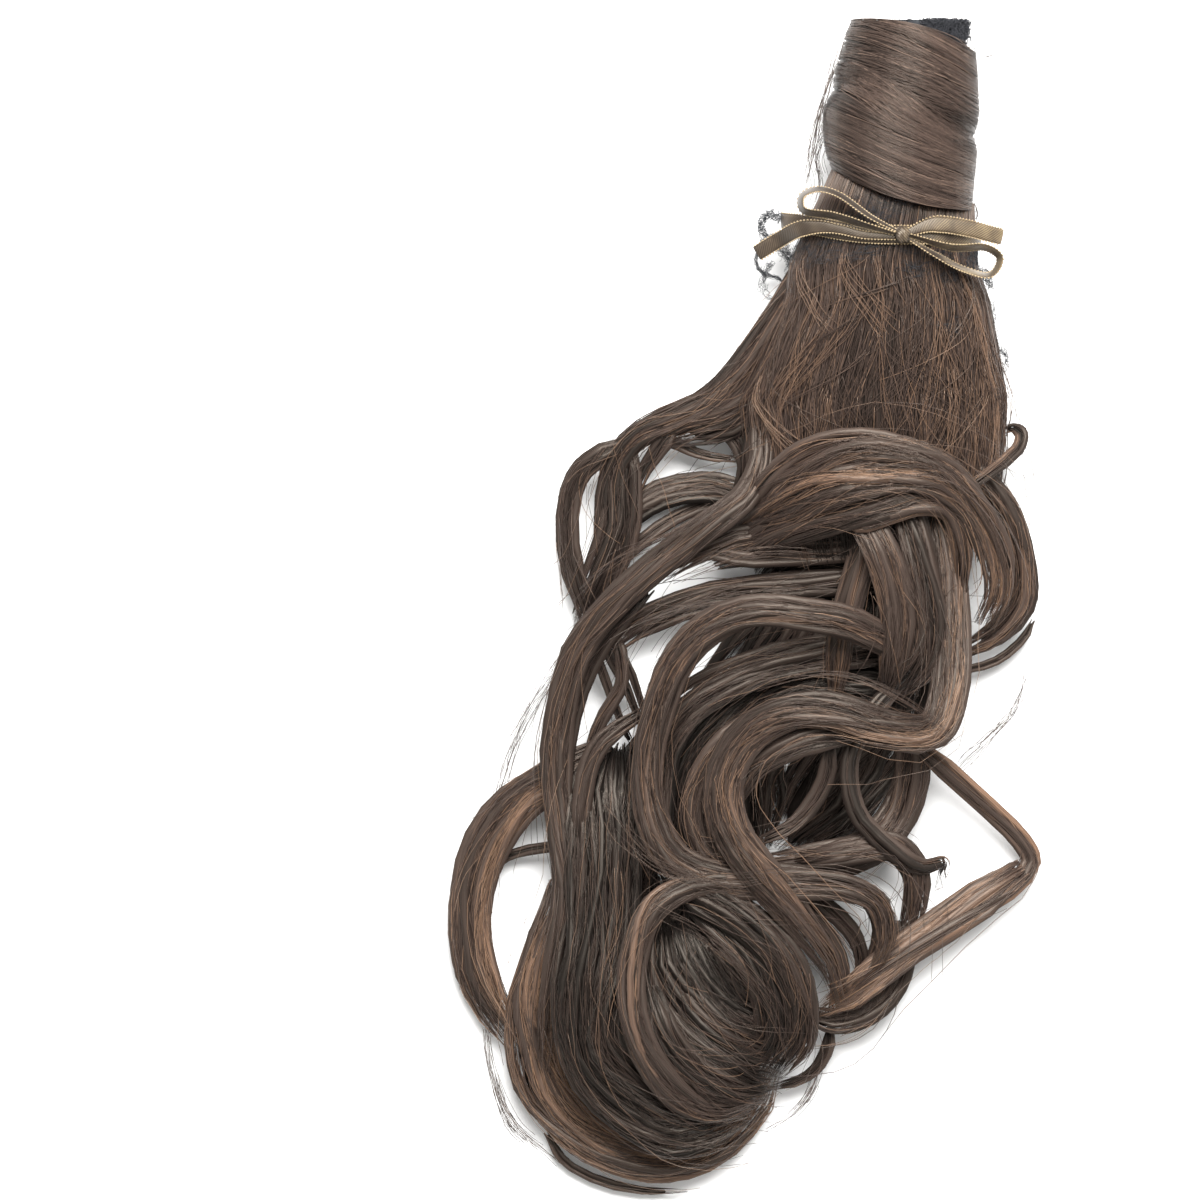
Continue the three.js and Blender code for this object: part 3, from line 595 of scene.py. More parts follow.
def lay_lock(lock, density=1.0):
    """The tresses of one lock, which sway and turn along it, the strands on them and its inside, dark with
    painted shade.
    """
    rng = np.random.default_rng(sum(ord(letter) * (k + 1) for k, letter in enumerate(lock.name)))
    half = np.array([lock.width * lock_width, lock.thick * lock_thickness]) / 2
    line, length = smooth_line([lay_point(place, half[1]) for place in lock.route])
    along = unit(np.gradient(line, axis=0))
    side = unit(np.cross(along, UP))
    top = np.cross(side, along)
    turning = np.arccos(np.clip((along[1:] * along[:-1]).sum(1), -1, 1))
    detail = turning / tress_step_turn + length / len(turning) / tress_step_length
    weight = np.concatenate([[0], np.cumsum(detail)])
    steps = max(7, int(np.ceil(weight[-1])))
    even = np.linspace(0, 1, len(line))
    stations = np.interp(np.linspace(0, weight[-1], steps), weight, even)[None]

    tresses = max(2, round(2 * half[0] / tress_spacing))
    distance = even[None] * length
    seat_across = np.linspace(-0.84, 0.84, tresses) + rng.normal(0, 0.06, tresses)
    seat_up = 0.55 - 0.6 * seat_across**2 + rng.normal(0, 0.12, tresses)
    tress_across = seat_across[:, None] + 0.2 * sway(rng, tresses, distance, 130)
    tress_high = seat_up[:, None] + 0.25 * sway(rng, tresses, distance, 110)
    turn = 0.45 * sway(rng, 1, distance, 170)
    tress_across, tress_high = (
        tress_across * np.cos(turn) - tress_high * np.sin(turn),
        tress_across * np.sin(turn) + tress_high * np.cos(turn),
    )
    looseness = 1 + 0.4 * sway(rng, tresses, distance, 90)
    tress_tone = rng.normal(0.42 + lock.warmth, 0.12, tresses)

    def place_in_lock(shares, rows, across, high, out=0, lift=0):
        """Points at shares of the lock, beside the middle lines of the tresses in rows, in millimetres."""
        position = shares * (len(line) - 1)
        lower = np.clip(position.astype(int), 0, len(line) - 2)
        part = position - lower
        a = tress_across[rows, lower] * (1 - part) + tress_across[rows, lower + 1] * part
        b = tress_high[rows, lower] * (1 - part) + tress_high[rows, lower + 1] * part
        loose = looseness[rows, lower]
        a, b = a + across * loose / half[0], b + high * loose / half[1]
        hold = 1 / (1 + np.hypot(a, b) ** 6) ** (1 / 6)
        full = read_table(lock.fullness, shares)
        points = table_at(line, shares)
        points = points + table_at(side, shares) * (a * hold * half[0] * full + out)[..., None]
        return points + table_at(top, shares) * (b * hold * half[1] * full + lift)[..., None]

    rows = np.arange(tresses)[:, None]
    shares = np.broadcast_to(stations * 0.94, (tresses, steps))
    full = read_table(lock.fullness, shares)
    lines = place_in_lock(shares, rows, 0, 0)
    lines[..., 2] = np.maximum(lines[..., 2], tress_half_height)
    tress_end = np.clip(np.minimum((1 - stations) * length / 25, stations * length / 8 + 0.2), 0.12, 1)
    width = min(tress_half_width, 0.8 * half[0]) * (0.5 + 0.5 * full) * tress_end
    height = min(tress_half_height, 0.8 * half[1]) * (0.5 + 0.5 * full) * tress_end
    # The tresses are darker than the strands and the heart below them darkest: painted shade inside the
    # lock.
    inside = [Threads(lines, width, height, tress_tone[:, None] - 0.12, UP)]
    middle = np.linspace(0.03, 0.86, steps)[None]
    heart = table_at(line, middle) - [0, 0, 0.15 * half[1]]
    heart[..., 2] = np.maximum(heart[..., 2], 0.5 * half[1] + 0.2)
    full = read_table(lock.fullness, middle)
    inside.append(Threads(heart, half[0] * 0.6 * full, half[1] * 0.5 * full, 0.0, UP))

    count = max(12, round(strands_per_mm * density * 2 * half[0] * (0.55 + 0.45 * lock.thick)))
    rows = rng.integers(0, tresses, count)[:, None]
    from_start = rng.uniform(0, 0.05, (count, 1))
    to_end = 1 - 0.3 * rng.random((count, 1)) ** 2.5
    shares = from_start + (to_end - from_start) * stations
    distance = shares * length
    angle = rng.uniform(-0.5, np.pi + 0.5, (count, 1)) + 0.5 * sway(rng, count, distance, 120)
    reach = rng.uniform(0.95, 1.5, (count, 1))
    across = np.cos(angle) * reach * tress_half_width * 1.2 + 1.1 * sway(rng, count, distance, 60)
    high = np.sin(angle) * reach * tress_half_height + 0.35 * sway(rng, count, distance, 60)
    free = np.clip(shares - rng.uniform(0.3, 0.8, (count, 1)), 0, 1)
    free = free * (rng.random((count, 1)) < stray_share)
    fling = rng.normal(0, 1, (2, count, 1)) * free * stray_reach
    flown = too_far(place_in_lock(shares, rows, across, high, fling[0], np.abs(fling[1])))
    fling = fling * ~flown[:, None]
    lines = place_in_lock(shares, rows, across, high, fling[0], np.abs(fling[1]))
    lines[..., 2] = np.maximum(lines[..., 2], 0.3 + 0.3 * rng.random((count, 1)))
    tone = tress_tone[rows] + rng.normal(0, 0.11, (count, 1)) + 0.06 * sway(rng, count, distance, 80)
    # Strands on the top of the lock are lighter and those underneath darker: painted light and shade. A few
    # random strands are lighter in their own tone.
    tone = tone + 0.25 * (rng.random((count, 1)) < 0.08) + 0.1 * (np.sin(angle) - 0.6)
    tone = tone - root_shade * np.clip(1 - distance / root_length, 0, 1)
    tip = np.clip((1 - stations) * (to_end - from_start) * length / tip_length, 0.3, 1)
    strands = Threads(lines, hair_half_width * tip, hair_half_height * tip, tone, UP)
    return strands, inside


def hair_piece(name, locks, material, density=1.0):
    laid = [lay_lock(lock, density) for lock in locks]
    strands = thread_mesh(name + "_strands", [pair[0] for pair in laid], material)
    inside = [group for pair in laid for group in pair[1]]
    tresses = thread_mesh(name + "_tresses", inside, under_hair, sides=6)
    for piece in (strands, tresses):
        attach(piece, "root")
        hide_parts("hair_tail")


def on_neck(angle, outward, down):
    flare = (down - neck_top) / neck_length
    half_width = neck_half_width + neck_flare * flare + outward
    return on_oval(-neck_lean * flare, half_width, neck_half_height + outward, angle, down)


# The sections of the fan, in the terms of a lock's route, from the foot of the neck downwards.
Section = namedtuple("Section", "down across half_width height half_height")
fan_sections = [
    Section(78, -18, 93, 52, 36),
    Section(114, -13, 102, 49, 37),
    Section(165, -19, 117, 45, 38),
    Section(215, -25, 132, 40, 36),
    Section(290, -22, 124, 34, 32),
    Section(360, -20, 108, 28, 25),
    Section(450, -20, 96, 22, 18),
]
fan_strand_count = 1250
fan_flyaway_count = 130
flyaway_half_width = 0.12
fan_clumps = 70
fan_steps = 16
fan_inside_share = 0.9
highest_flyaway = 53.5


def in_fan(across, high, down):
    """A point of the fan: across and high are shares of its section, and down is in millimetres."""
    flare = (down - neck_top) / neck_length
    table = np.array(fan_sections)
    where = (down - tail_top) / tail_length * 1000
    to_x, to_z = tail_spread / lay_spread, pile_height / 100
    centre, half_width, height, half_height = [
        np.interp(where, table[:, 0], table[:, k]) * scale
        for k, scale in ((1, to_x), (2, to_x), (3, to_z), (4, to_z))
    ]
    in_neck = down < neck_top + neck_length
    centre = np.where(in_neck, -neck_lean * flare, centre)
    half_width = np.where(in_neck, neck_half_width + neck_flare * flare, half_width)
    height = np.where(in_neck, axis_height, height)
    half_height = np.where(in_neck, neck_half_height, half_height)
    x, z = centre + across * half_width, height + high * half_height
    return np.stack([x, -down + 0 * x, np.maximum(z, 0.4)], axis=-1)


def fan_strands(rng, count):
    """Straight combed strands from the foot of the wrap to the curls, in clumps that part a little."""
    clump = rng.integers(0, fan_clumps, count)
    angle = np.linspace(-1.75, 1.75, fan_clumps) + rng.normal(0, 0.03, fan_clumps)
    angle = angle[clump][:, None] + rng.normal(0, 0.07, (count, 1))
    share = np.linspace(0, 1, fan_steps)[None]
    begin = edge_down(wrap_edges[3], np.sin(angle) * neck_half_width) - 3
    end = tail_top + tail_length * rng.uniform(0.28, 0.38, (count, 1))
    down = begin + (end - begin) * share
    drift = rng.normal(0, 0.19, fan_clumps)[clump][:, None] + rng.normal(0, 0.12, (count, 1))
    spread = np.clip((down - 90) / 100, 0, 1)
    angle = angle + drift * spread + 0.03 * sway(rng, count, down, 70) * (0.3 + spread)
    deep = rng.random((count, 1)) ** 1.6
    depth = 1 - 0.1 * deep - (0.02 * sway(rng, fan_clumps, np.zeros((1, 1)), 9)[clump]) * spread
    lines = in_fan(np.sin(angle) * depth, np.cos(angle) * depth, down)
    clump_tone = rng.normal(0.45, 0.1, fan_clumps)[clump][:, None]
    # Deeper strands are darker (painted shade inside the fan), and below 165 mm down all strands darken
    # (painted shade where they run under the front roll).
    tone = clump_tone + rng.normal(0, 0.11, (count, 1)) - 0.2 * deep + 0.09 * sway(rng, count, down, 70)
    tone = tone + 0.22 * (rng.random((count, 1)) < 0.12) - 0.5 * np.clip((down - 165) / 50, 0, 1)
    return Threads(lines, hair_half_width, hair_half_height, tone, UP)


def fan_flyaways(rng, wisps):
    """Hairs that lie slantwise over the combed ones: thin light wisps, and single hairs between them."""
    size = rng.integers(1, 7, wisps) * (rng.random(wisps) < 0.35) + 1
    wisp = np.repeat(np.arange(wisps), size)
    count = len(wisp)
    start = rng.uniform(-1.2, 1.2, wisps)[wisp][:, None] + rng.normal(0, 0.03, (count, 1))
    turn = rng.normal(0, 0.5, wisps)[wisp][:, None] + rng.normal(0, 0.04, (count, 1))
    begin = rng.uniform(86, 150, wisps)[wisp][:, None] + rng.normal(0, 1.5, (count, 1))
    reach = rng.uniform(20, 75, wisps)[wisp][:, None] + rng.normal(0, 2, (count, 1))
    share = np.linspace(0, 1, 12)[None]
    down = begin + reach * share
    angle = start + turn * share**1.4 + 0.04 * sway(rng, count, down, 50)
    depth = 1.02 + 0.03 * np.sin(np.pi * share)
    lines = in_fan(np.sin(angle) * depth, np.cos(angle) * depth, down)
    lines[..., 2] = np.minimum(lines[..., 2], highest_flyaway)
    tone = rng.uniform(0.45, 0.9, wisps)[wisp][:, None]
    return Threads(lines, flyaway_half_width, flyaway_half_width, tone, UP)


def bundle_inside(rng, sections, sides, scale):
    """A closed bundle just under the strands, with a stripe of its own tone along each of its corners."""
    downs = np.linspace(61, tail_top + tail_length * 0.34, sections)
    angle = 2 * np.pi * np.arange(sides) / sides
    shape = bmesh.new()
    tone, lay = shape.verts.layers.float.new("tone"), shape.verts.layers.float_vector.new("lay")
    rings = [
        [shape.verts.new((point + origin) / 1000)
         for point in in_fan(np.sin(angle) * scale, np.cos(angle) * scale, np.full(sides, down))]
        for down in downs
    ]
    for one, other in zip(rings, rings[1:]):
        for k in range(sides):
            shape.faces.new([one[k - 1], one[k], other[k], other[k - 1]])
    shape.faces.new(rings[0])
    shape.faces.new(rings[-1][::-1])
    bmesh.ops.recalc_face_normals(shape, faces=shape.faces)
    stripe = rng.uniform(0, 0.35, sides)
    for ring in rings:
        for k, vertex in enumerate(ring):
            vertex[tone] = stripe[k] + rng.normal(0, 0.04)
            vertex[lay] = (angle[k] * neck_half_width, -vertex.co.y * 1000, 0)
    for face in shape.faces:
        face.smooth = True
    return shape


tail_hair = hair_material(
    "tail_hair", (0.009, 0.0068, 0.006), (0.062, 0.042, 0.034), (0.24, 0.145, 0.092), 0.3
)
rng = np.random.default_rng(40)
fan_groups = [fan_strands(rng, fan_strand_count), fan_flyaways(rng, fan_flyaway_count)]
fan_hair = thread_mesh("fan_strands", fan_groups, tail_hair)
# The fan's inside bundle is in the darker inner-hair material: painted shade under the combed strands.
fan_inside = from_bmesh("fan_inside", bundle_inside(rng, 20, 96, fan_inside_share), under_hair)
for piece in (fan_hair, fan_inside):
    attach(piece, "root")
    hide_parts("hair_tail")

# The ring: curls that leave the fan at its left, open round bare table and fall back over one another.
ring_locks = [
    Lock("ring_top", 0.85, 0.8, 0.02, [
        (-66, 40, 46), (-102, 98, 46), (-138, 152, 42), (-168, 192, 38), (-198, 219, 36),
        (-235, 235, 34), (-262, 248, 32), (-284, 272, 30),
    ]),
    Lock("ring_sheet", 1.2, 0.7, 0, [
        (-52, 70, 46), (-84, 125, 45), (-118, 178, 43), (-146, 214, 40), (-176, 236, 36),
        (-215, 246, 33), (-240, 256, 30),
    ]),
    Lock("ring_sheet_inner", 1.0, 0.8, -0.08, [
        (-60, 110, 44), (-90, 165, 44), (-118, 212, 44), (-138, 248, 42), (-146, 282, 36),
        (-152, 320, 30),
    ]),
    Lock("ring_arch", 0.7, 0.7, -0.05, [
        (-162, 312, 24), (-150, 278, 28), (-164, 246, 30), (-196, 232, 32), (-236, 240, 32),
        (-268, 256, 30), (-288, 290, 26), (-292, 335, 22), (-296, 385, 18), (-310, 430, 16),
    ]),
    Lock("ring_fall", 1.2, 0.8, -0.05, [
        (-278, 254, 28), (-277, 290, 26), (-280, 338, 24), (-290, 372, 22), (-303, 404, 20),
        (-320, 445, 18),
    ]),
    Lock("ring_outer", 0.62, 0.7, 0, [
        (-270, 256, 28), (-300, 270, 28), (-319, 286, 26), (-329, 310, 22), (-332, 354, 20),
        (-328, 384, 20), (-320, 412, 20), (-308, 450, 22),
    ]),
    Lock("ring_strand", 0.26, 0.4, 0.05, [
        (-262, 244, 30), (-237, 253, 28), (-220, 260, 26), (-204, 268, 25), (-187, 272, 25),
        (-155, 275, 26),
    ]),
    Lock("ring_cross", 0.35, 0.5, -0.05, [
        (-222, 238, 32), (-237, 258, 32), (-247, 272, 30), (-258, 290, 28), (-268, 320, 26),
    ]),
    Lock("ring_band_upper", 0.85, 0.5, -0.05, [
        (-290, 352, 20), (-265, 326, 20), (-245, 313, 20), (-225, 306, 20), (-205, 303, 20),
        (-183, 303, 20), (-148, 312, 20), (-120, 318, 24),
    ]),
    Lock("ring_band_lower", 0.3, 0.4, 0, [
        (-285, 385, 16), (-262, 360, 16), (-233, 338, 14), (-216, 329, 14), (-199, 322, 14),
        (-165, 314, 16), (-130, 312, 20),
    ]),
    Lock("left_stream", 0.85, 0.8, 0, [
        (-140, 235, 48), (-140, 280, 54), (-156, 314, 58), (-200, 347, 60), (-248, 385, 58),
        (-290, 424, 54), (-322, 466, 48), (-340, 525, 44), (-344, 590, 40), (-338, 650, 42),
        (-332, 710, 44), (-342, 770, 44), (-352, 830, 40), (-358, 890, 34),
    ]),
    Lock("left_stream_inner", 0.38, 0.5, -0.06, [
        (-248, 404, 44), (-270, 426, 42), (-294, 454, 38), (-312, 486, 34), (-322, 512, 32),
        (-329, 542, 30), (-332, 576, 30), (-330, 624, 32),
    ]),
    Lock("lattice_a", 0.2, 0.3, 0, [
        (-310, 454, 24), (-302, 476, 24), (-294, 498, 20), (-286, 520, 18), (-276, 545, 16),
        (-262, 572, 14),
    ]),
    Lock("lattice_b", 0.32, 0.4, 0, [
        (-288, 439, 26), (-278, 474, 26), (-278, 502, 22), (-290, 522, 20), (-302, 544, 18),
        (-309, 566, 16), (-310, 599, 16),
    ]),
    Lock("lattice_c", 0.22, 0.3, 0, [
        (-296, 454, 28), (-290, 474, 26), (-282, 489, 22), (-273, 506, 20), (-264, 528, 18),
        (-248, 556, 14),
    ]),
    Lock("lattice_d", 0.18, 0.3, 0, [
        (-276, 469, 28), (-268, 490, 24), (-262, 508, 20), (-254, 532, 18), (-240, 556, 14),
    ]),
    Lock("lattice_e", 0.42, 0.5, 0, [
        (-322, 674, 48), (-318, 619, 48), (-311, 582, 48), (-300, 561, 48), (-285, 547, 47),
        (-266, 535, 45), (-240, 518, 40),
    ]),
]
hair_piece("ring", ring_locks, tail_hair)

# The bands behind the front curls, and the long arch over them.
band_locks = [
    Lock("band_upper", 0.6, 0.7, -0.02, [
        (20, 330, 44), (-60, 352, 42), (-115, 353, 40), (-160, 352, 40), (-200, 368, 44),
        (-240, 392, 44),
    ]),
    Lock("band_light", 0.35, 0.3, 0.12, [
        (0, 350, 56), (-30, 362, 50), (-60, 370, 42), (-100, 373, 42), (-154, 376, 42),
        (-195, 369, 44), (-240, 398, 44),
    ]),
    Lock("band_middle", 0.85, 0.9, -0.05, [
        (30, 392, 24), (-40, 396, 26), (-110, 400, 28), (-195, 414, 28), (-240, 430, 28),
        (-276, 450, 26), (-308, 482, 22),
    ]),
    Lock("band_lower", 1.2, 0.9, -0.1, [
        (20, 462, 26), (-50, 468, 30), (-105, 474, 34), (-160, 492, 36), (-212, 524, 36),
        (-240, 575, 34), (-248, 650, 32), (-262, 720, 30),
    ]),
    # interior_dark and interior_dark_low are wide, very dark sheets: painted shade in the hollow under the
    # bands.
    Lock("interior_dark", 2.6, 0.8, -0.45, [
        (10, 340, 20), (-60, 372, 20), (-110, 385, 16), (-140, 400, 14),
    ]),
    Lock("interior_dark_low", 2.4, 0.8, -0.45, [
        (20, 500, 14), (-60, 500, 14), (-130, 520, 14), (-190, 570, 14), (-215, 630, 14),
        (-210, 690, 20),
    ]),
    Lock("arch", 0.95, 0.9, 0.06, [
        (30, 490, 40), (0, 467, 52), (-21, 454, 60), (-53, 439, 68), (-96, 430, 72), (-128, 425, 74),
        (-165, 430, 72), (-203, 452, 70), (-228, 484, 68), (-244, 530, 64), (-252, 580, 62),
        (-248, 632, 62), (-224, 678, 62), (-174, 698, 62), (-112, 700, 62), (-55, 705, 60),
        (-22, 722, 56), (-14, 756, 48), (-26, 792, 42),
    ]),
]
hair_piece("bands", band_locks, tail_hair)

# The front roll and the curls at the right, which lie highest and catch the most light.
right_locks = [
    Lock("front_roll", 2.15, 1.15, 0.13, [
        (-185, 358, 20), (-156, 340, 36), (-122, 317, 62), (-82, 296, 82), (-38, 282, 88),
        (2, 280, 88), (38, 293, 84), (66, 320, 76), (88, 360, 66), (96, 405, 56), (82, 441, 44),
    ], roll_fullness),
    Lock("front_edge", 0.36, 0.5, 0.4, [
        (-165, 338, 34), (-146, 312, 56), (-126, 286, 74), (-102, 266, 83), (-70, 254, 88),
        (-32, 252, 90), (5, 261, 90), (38, 279, 88), (68, 307, 82), (92, 342, 74), (106, 381, 64),
        (104, 416, 54), (90, 438, 44),
    ]),
    Lock("front_under", 1.0, 0.9, -0.12, [
        (-185, 376, 18), (-152, 364, 34), (-112, 347, 58), (-60, 330, 74), (-15, 316, 80),
        (25, 307, 78), (52, 307, 72),
    ]),
    Lock("front_fold", 0.5, 0.6, 0.2, [
        (-62, 336, 72), (-38, 338, 76), (-10, 329, 79), (20, 321, 79), (46, 326, 74), (58, 347, 68),
        (62, 380, 60), (60, 420, 50),
    ]),
    Lock("fall_left", 1.1, 0.9, 0.12, [
        (-52, 300, 50), (-40, 330, 64), (-20, 368, 70), (-8, 405, 66), (-3, 440, 62), (-7, 476, 58),
        (-15, 510, 50),
    ]),
    Lock("fall_middle", 1.0, 0.8, 0, [
        (-8, 295, 50), (8, 335, 62), (20, 390, 64), (30, 441, 62), (22, 481, 60), (-4, 512, 54),
    ]),
    Lock("back_strands", 0.8, 0.5, 0.1, [
        (-20, 340, 50), (-35, 365, 50), (-48, 406, 46), (-58, 446, 42), (-62, 480, 38),
        (-66, 520, 30),
    ]),
    Lock("right_loop", 0.75, 0.9, 0, [
        (40, 262, 44), (78, 290, 46), (108, 326, 44), (123, 374, 38), (121, 420, 32), (92, 452, 28),
        (50, 474, 26),
    ]),
    Lock("right_tip", 0.28, 0.4, 0.05, [
        (104, 246, 46), (112, 243, 46), (120, 249, 50), (117, 262, 56), (104, 275, 64),
        (74, 297, 76), (40, 318, 84),
    ]),
    Lock("right_wisp", 0.18, 0.2, 0.15, [
        (134, 436, 10), (126, 452, 12), (108, 470, 14), (90, 480, 16), (55, 487, 24), (10, 480, 30),
    ]),
    Lock("right_s", 1.15, 1.05, 0.06, [
        (30, 300, 46), (44, 370, 50), (48, 440, 56), (48, 505, 64), (30, 546, 72), (-20, 543, 78),
        (-68, 528, 80), (-112, 528, 80), (-156, 554, 76), (-178, 600, 72), (-170, 648, 70),
        (-138, 695, 70), (-100, 740, 62), (-70, 780, 52), (-58, 820, 40),
    ]),
    Lock("right_s_inner", 0.8, 0.7, 0, [
        (-50, 552, 66), (-100, 558, 68), (-148, 584, 66), (-170, 625, 66),
    ]),
    Lock("right_s_outer", 1, 0.9, 0, [
        (-140, 530, 52), (-184, 572, 54), (-204, 620, 52), (-192, 665, 52), (-150, 705, 54),
    ]),
    Lock("right_eye", 0.4, 0.5, 0, [(-70, 554, 62), (-78, 600, 54), (-106, 640, 54), (-150, 662, 60)]),
    Lock("right_drop", 0.42, 0.5, 0, [
        (5, 495, 40), (-30, 530, 50), (-52, 582, 52), (-42, 632, 52), (-14, 662, 50), (20, 684, 44),
        (44, 680, 32), (38, 708, 16),
    ]),
    Lock("right_turn", 1.05, 0.9, 0, [
        (10, 540, 34), (12, 585, 30), (-2, 632, 28), (-34, 666, 34), (-90, 680, 40), (-160, 686, 46),
    ]),
    Lock("right_hook", 0.75, 0.7, 0, [
        (-105, 680, 44), (-50, 668, 46), (-8, 664, 44), (14, 688, 38), (14, 726, 30), (2, 764, 24),
    ]),
    Lock("right_elbow", 0.46, 0.6, 0.42, [
        (0, 548, 44), (46, 586, 34), (92, 628, 24), (122, 658, 18), (132, 680, 16), (116, 702, 20),
        (62, 736, 28), (12, 766, 36), (-28, 792, 42), (-62, 818, 42),
    ]),
    Lock("right_elbow_low", 1.1, 0.7, 0.5, [
        (124, 686, 20), (76, 722, 24), (28, 752, 30), (-12, 782, 36), (-50, 812, 38), (-84, 830, 36),
    ]),
    Lock("right_under", 0.75, 0.8, -0.05, [
        (0, 738, 26), (0, 790, 18), (-22, 824, 20), (-60, 840, 26), (-104, 830, 30),
    ]),
    Lock("right_inner_loop", 0.5, 0.6, 0, [
        (-160, 680, 44), (-107, 692, 44), (-67, 698, 42), (-38, 708, 40), (-24, 724, 36),
        (-17, 746, 32), (-21, 766, 28), (-32, 790, 26), (-52, 816, 26),
    ]),
    Lock("right_bridge", 0.6, 0.35, 0.15, [
        (-155, 689, 50), (-110, 719, 44), (-75, 754, 36), (-60, 789, 30), (-62, 824, 26),
        (-72, 848, 24),
    ]),
    Lock("right_bridge_low", 0.4, 0.35, 0.12, [
        (-130, 700, 48), (-80, 720, 42), (-45, 754, 34), (-38, 784, 28), (-50, 816, 26),
    ]),
]
hair_piece("right_curls", right_locks, tail_hair)

# The big roll in which the tail ends, and the open loop at its left.
roll_locks = [
    Lock("left_loop", 1.35, 0.95, 0.24, [
        (-290, 565, 26), (-342, 594, 26), (-388, 626, 24), (-416, 668, 20), (-430, 718, 16),
        (-428, 770, 14), (-410, 822, 14), (-378, 872, 16),
    ]),
    Lock("left_loop_strand", 0.22, 0.4, 0, [
        (-320, 664, 22), (-362, 666, 16), (-395, 676, 14), (-424, 706, 12),
    ]),
    # roll_mass is darkened: painted shade against the highlight on its rising strands.
    Lock("roll_mass", 2.7, 1.2, -0.32, [
        (-286, 566, 24), (-294, 604, 38), (-298, 664, 46), (-300, 744, 50), (-306, 815, 56),
        (-294, 875, 56), (-252, 922, 52), (-197, 942, 46), (-150, 930, 40),
    ], mass_fullness),
    Lock("roll_outer", 1.9, 1.1, 0.34, [
        (-332, 700, 26), (-346, 770, 24), (-366, 840, 20), (-354, 906, 18), (-311, 950, 18),
        (-250, 973, 18), (-195, 961, 18), (-153, 926, 16), (-128, 885, 14),
    ]),
    Lock("roll_ring", 0.8, 0.8, 0.05, [
        (-110, 694, 54), (-180, 696, 62), (-218, 706, 66), (-246, 724, 70), (-263, 756, 72),
        (-270, 799, 72), (-265, 844, 72), (-248, 882, 70), (-218, 916, 64), (-185, 932, 56),
        (-145, 922, 48),
    ]),
    Lock("roll_crest", 0.28, 0.4, 0.3, [
        (-210, 696, 66), (-232, 704, 70), (-250, 719, 73), (-260, 741, 75), (-265, 771, 76),
        (-268, 804, 76), (-265, 842, 75), (-254, 872, 73), (-235, 902, 70), (-210, 924, 66),
        (-182, 934, 58),
    ]),
    # roll_bowl, roll_heart and the dome locks are darkened: painted shade in the hollow inside the ring's
    # crest.
    Lock("roll_bowl", 2.4, 0.9, -0.35, [
        (-185, 709, 36), (-208, 744, 36), (-218, 784, 38), (-200, 824, 40), (-170, 854, 40),
    ]),
    Lock("roll_heart", 3, 1, -0.35, [
        (-215, 735, 40), (-200, 790, 46), (-170, 835, 46), (-120, 860, 44),
    ]),
    Lock("dome_top", 1.1, 0.8, -0.2, [
        (-228, 700, 56), (-186, 718, 62), (-146, 744, 62), (-114, 780, 60), (-100, 819, 54),
        (-102, 859, 44), (-126, 896, 30),
    ]),
    Lock("dome_right", 1.0, 0.8, -0.22, [
        (-210, 719, 48), (-182, 744, 54), (-152, 776, 56), (-134, 814, 54), (-130, 854, 48),
        (-148, 898, 34),
    ]),
    Lock("dome_mid", 1.1, 0.6, -0.3, [
        (-188, 744, 42), (-206, 779, 46), (-204, 812, 50), (-178, 844, 52), (-140, 866, 46),
        (-110, 876, 30),
    ]),
    Lock("dome_left", 1.2, 0.8, -0.4, [
        (-245, 749, 38), (-250, 784, 42), (-243, 819, 46), (-222, 852, 50), (-190, 878, 53),
        (-150, 896, 49), (-118, 898, 34),
    ]),
    Lock("dome_low", 1.0, 0.8, -0.1, [
        (-252, 804, 56), (-236, 856, 60), (-204, 894, 58), (-164, 914, 52), (-128, 910, 34),
    ]),
    Lock("roll_curl", 0.3, 0.4, 0.05, [
        (-68, 842, 20), (-72, 868, 18), (-85, 890, 16), (-105, 902, 16), (-132, 908, 18),
    ]),
    Lock("roll_stray", 0.2, 0.3, 0.2, [
        (-355, 952, 10), (-336, 982, 8), (-300, 1002, 8), (-255, 1012, 8), (-212, 1012, 8),
    ]),
]
hair_piece("end_roll", roll_locks, tail_hair, 0.9)

# The lowest hair, flat on the table under the curls, darkened with painted shade.
floor_locks = [
    Lock("floor_middle", 3.8, 1, -0.25, [
        (-50, 380, 12), (-110, 450, 12), (-150, 520, 10), (-170, 600, 10), (-160, 690, 10),
    ]),
    Lock("floor_right", 3.4, 1, -0.25, [
        (-10, 400, 12), (-12, 470, 12), (-30, 545, 10), (-70, 610, 10), (-120, 670, 10),
    ]),
    Lock("floor_left", 2.2, 1, -0.35, [
        (-262, 560, 10), (-262, 600, 10), (-268, 660, 10), (-272, 720, 10),
    ]),
    Lock("floor_roll", 5, 1, -0.25, [(-280, 700, 10), (-262, 780, 10), (-230, 850, 10), (-180, 890, 10)]),
]
hair_piece("floor_hair", floor_locks, tail_hair, 0.5)

# The net band: the end of the cuff's net, wrapped round the neck under the ribbon. It is sheer and frayed,
# so it is made of single black threads that wander over the hair, and its shreds stand out at the sides.
ribbon_down = 82.5
net_thread = 0.06


def curly(rng, count, steps, size, period):
    """Small curls about nothing: offsets in three directions for each thread."""
    share = np.linspace(0, 1, steps)[None] * period * 1.6
    return np.stack([sway(rng, count, share, period) * size for _ in range(3)], axis=-1)


def net_patch(rng, count, angles, downs, steps=13):
    angle = rng.uniform(*angles, (count, 1)) + 0.2 * sway(rng, count, np.linspace(0, 14, steps)[None], 11)
    down = rng.uniform(*downs, (count, 1)) + 3.2 * sway(rng, count, np.linspace(0, 14, steps)[None], 9)
    out = 0.5 + 0.35 * sway(rng, count, np.linspace(0, 14, steps)[None], 6)
    tone = rng.uniform(0, 1, (count, 1))
    return Threads(on_neck(angle, out + 0.2, down), net_thread, net_thread, tone, UP)


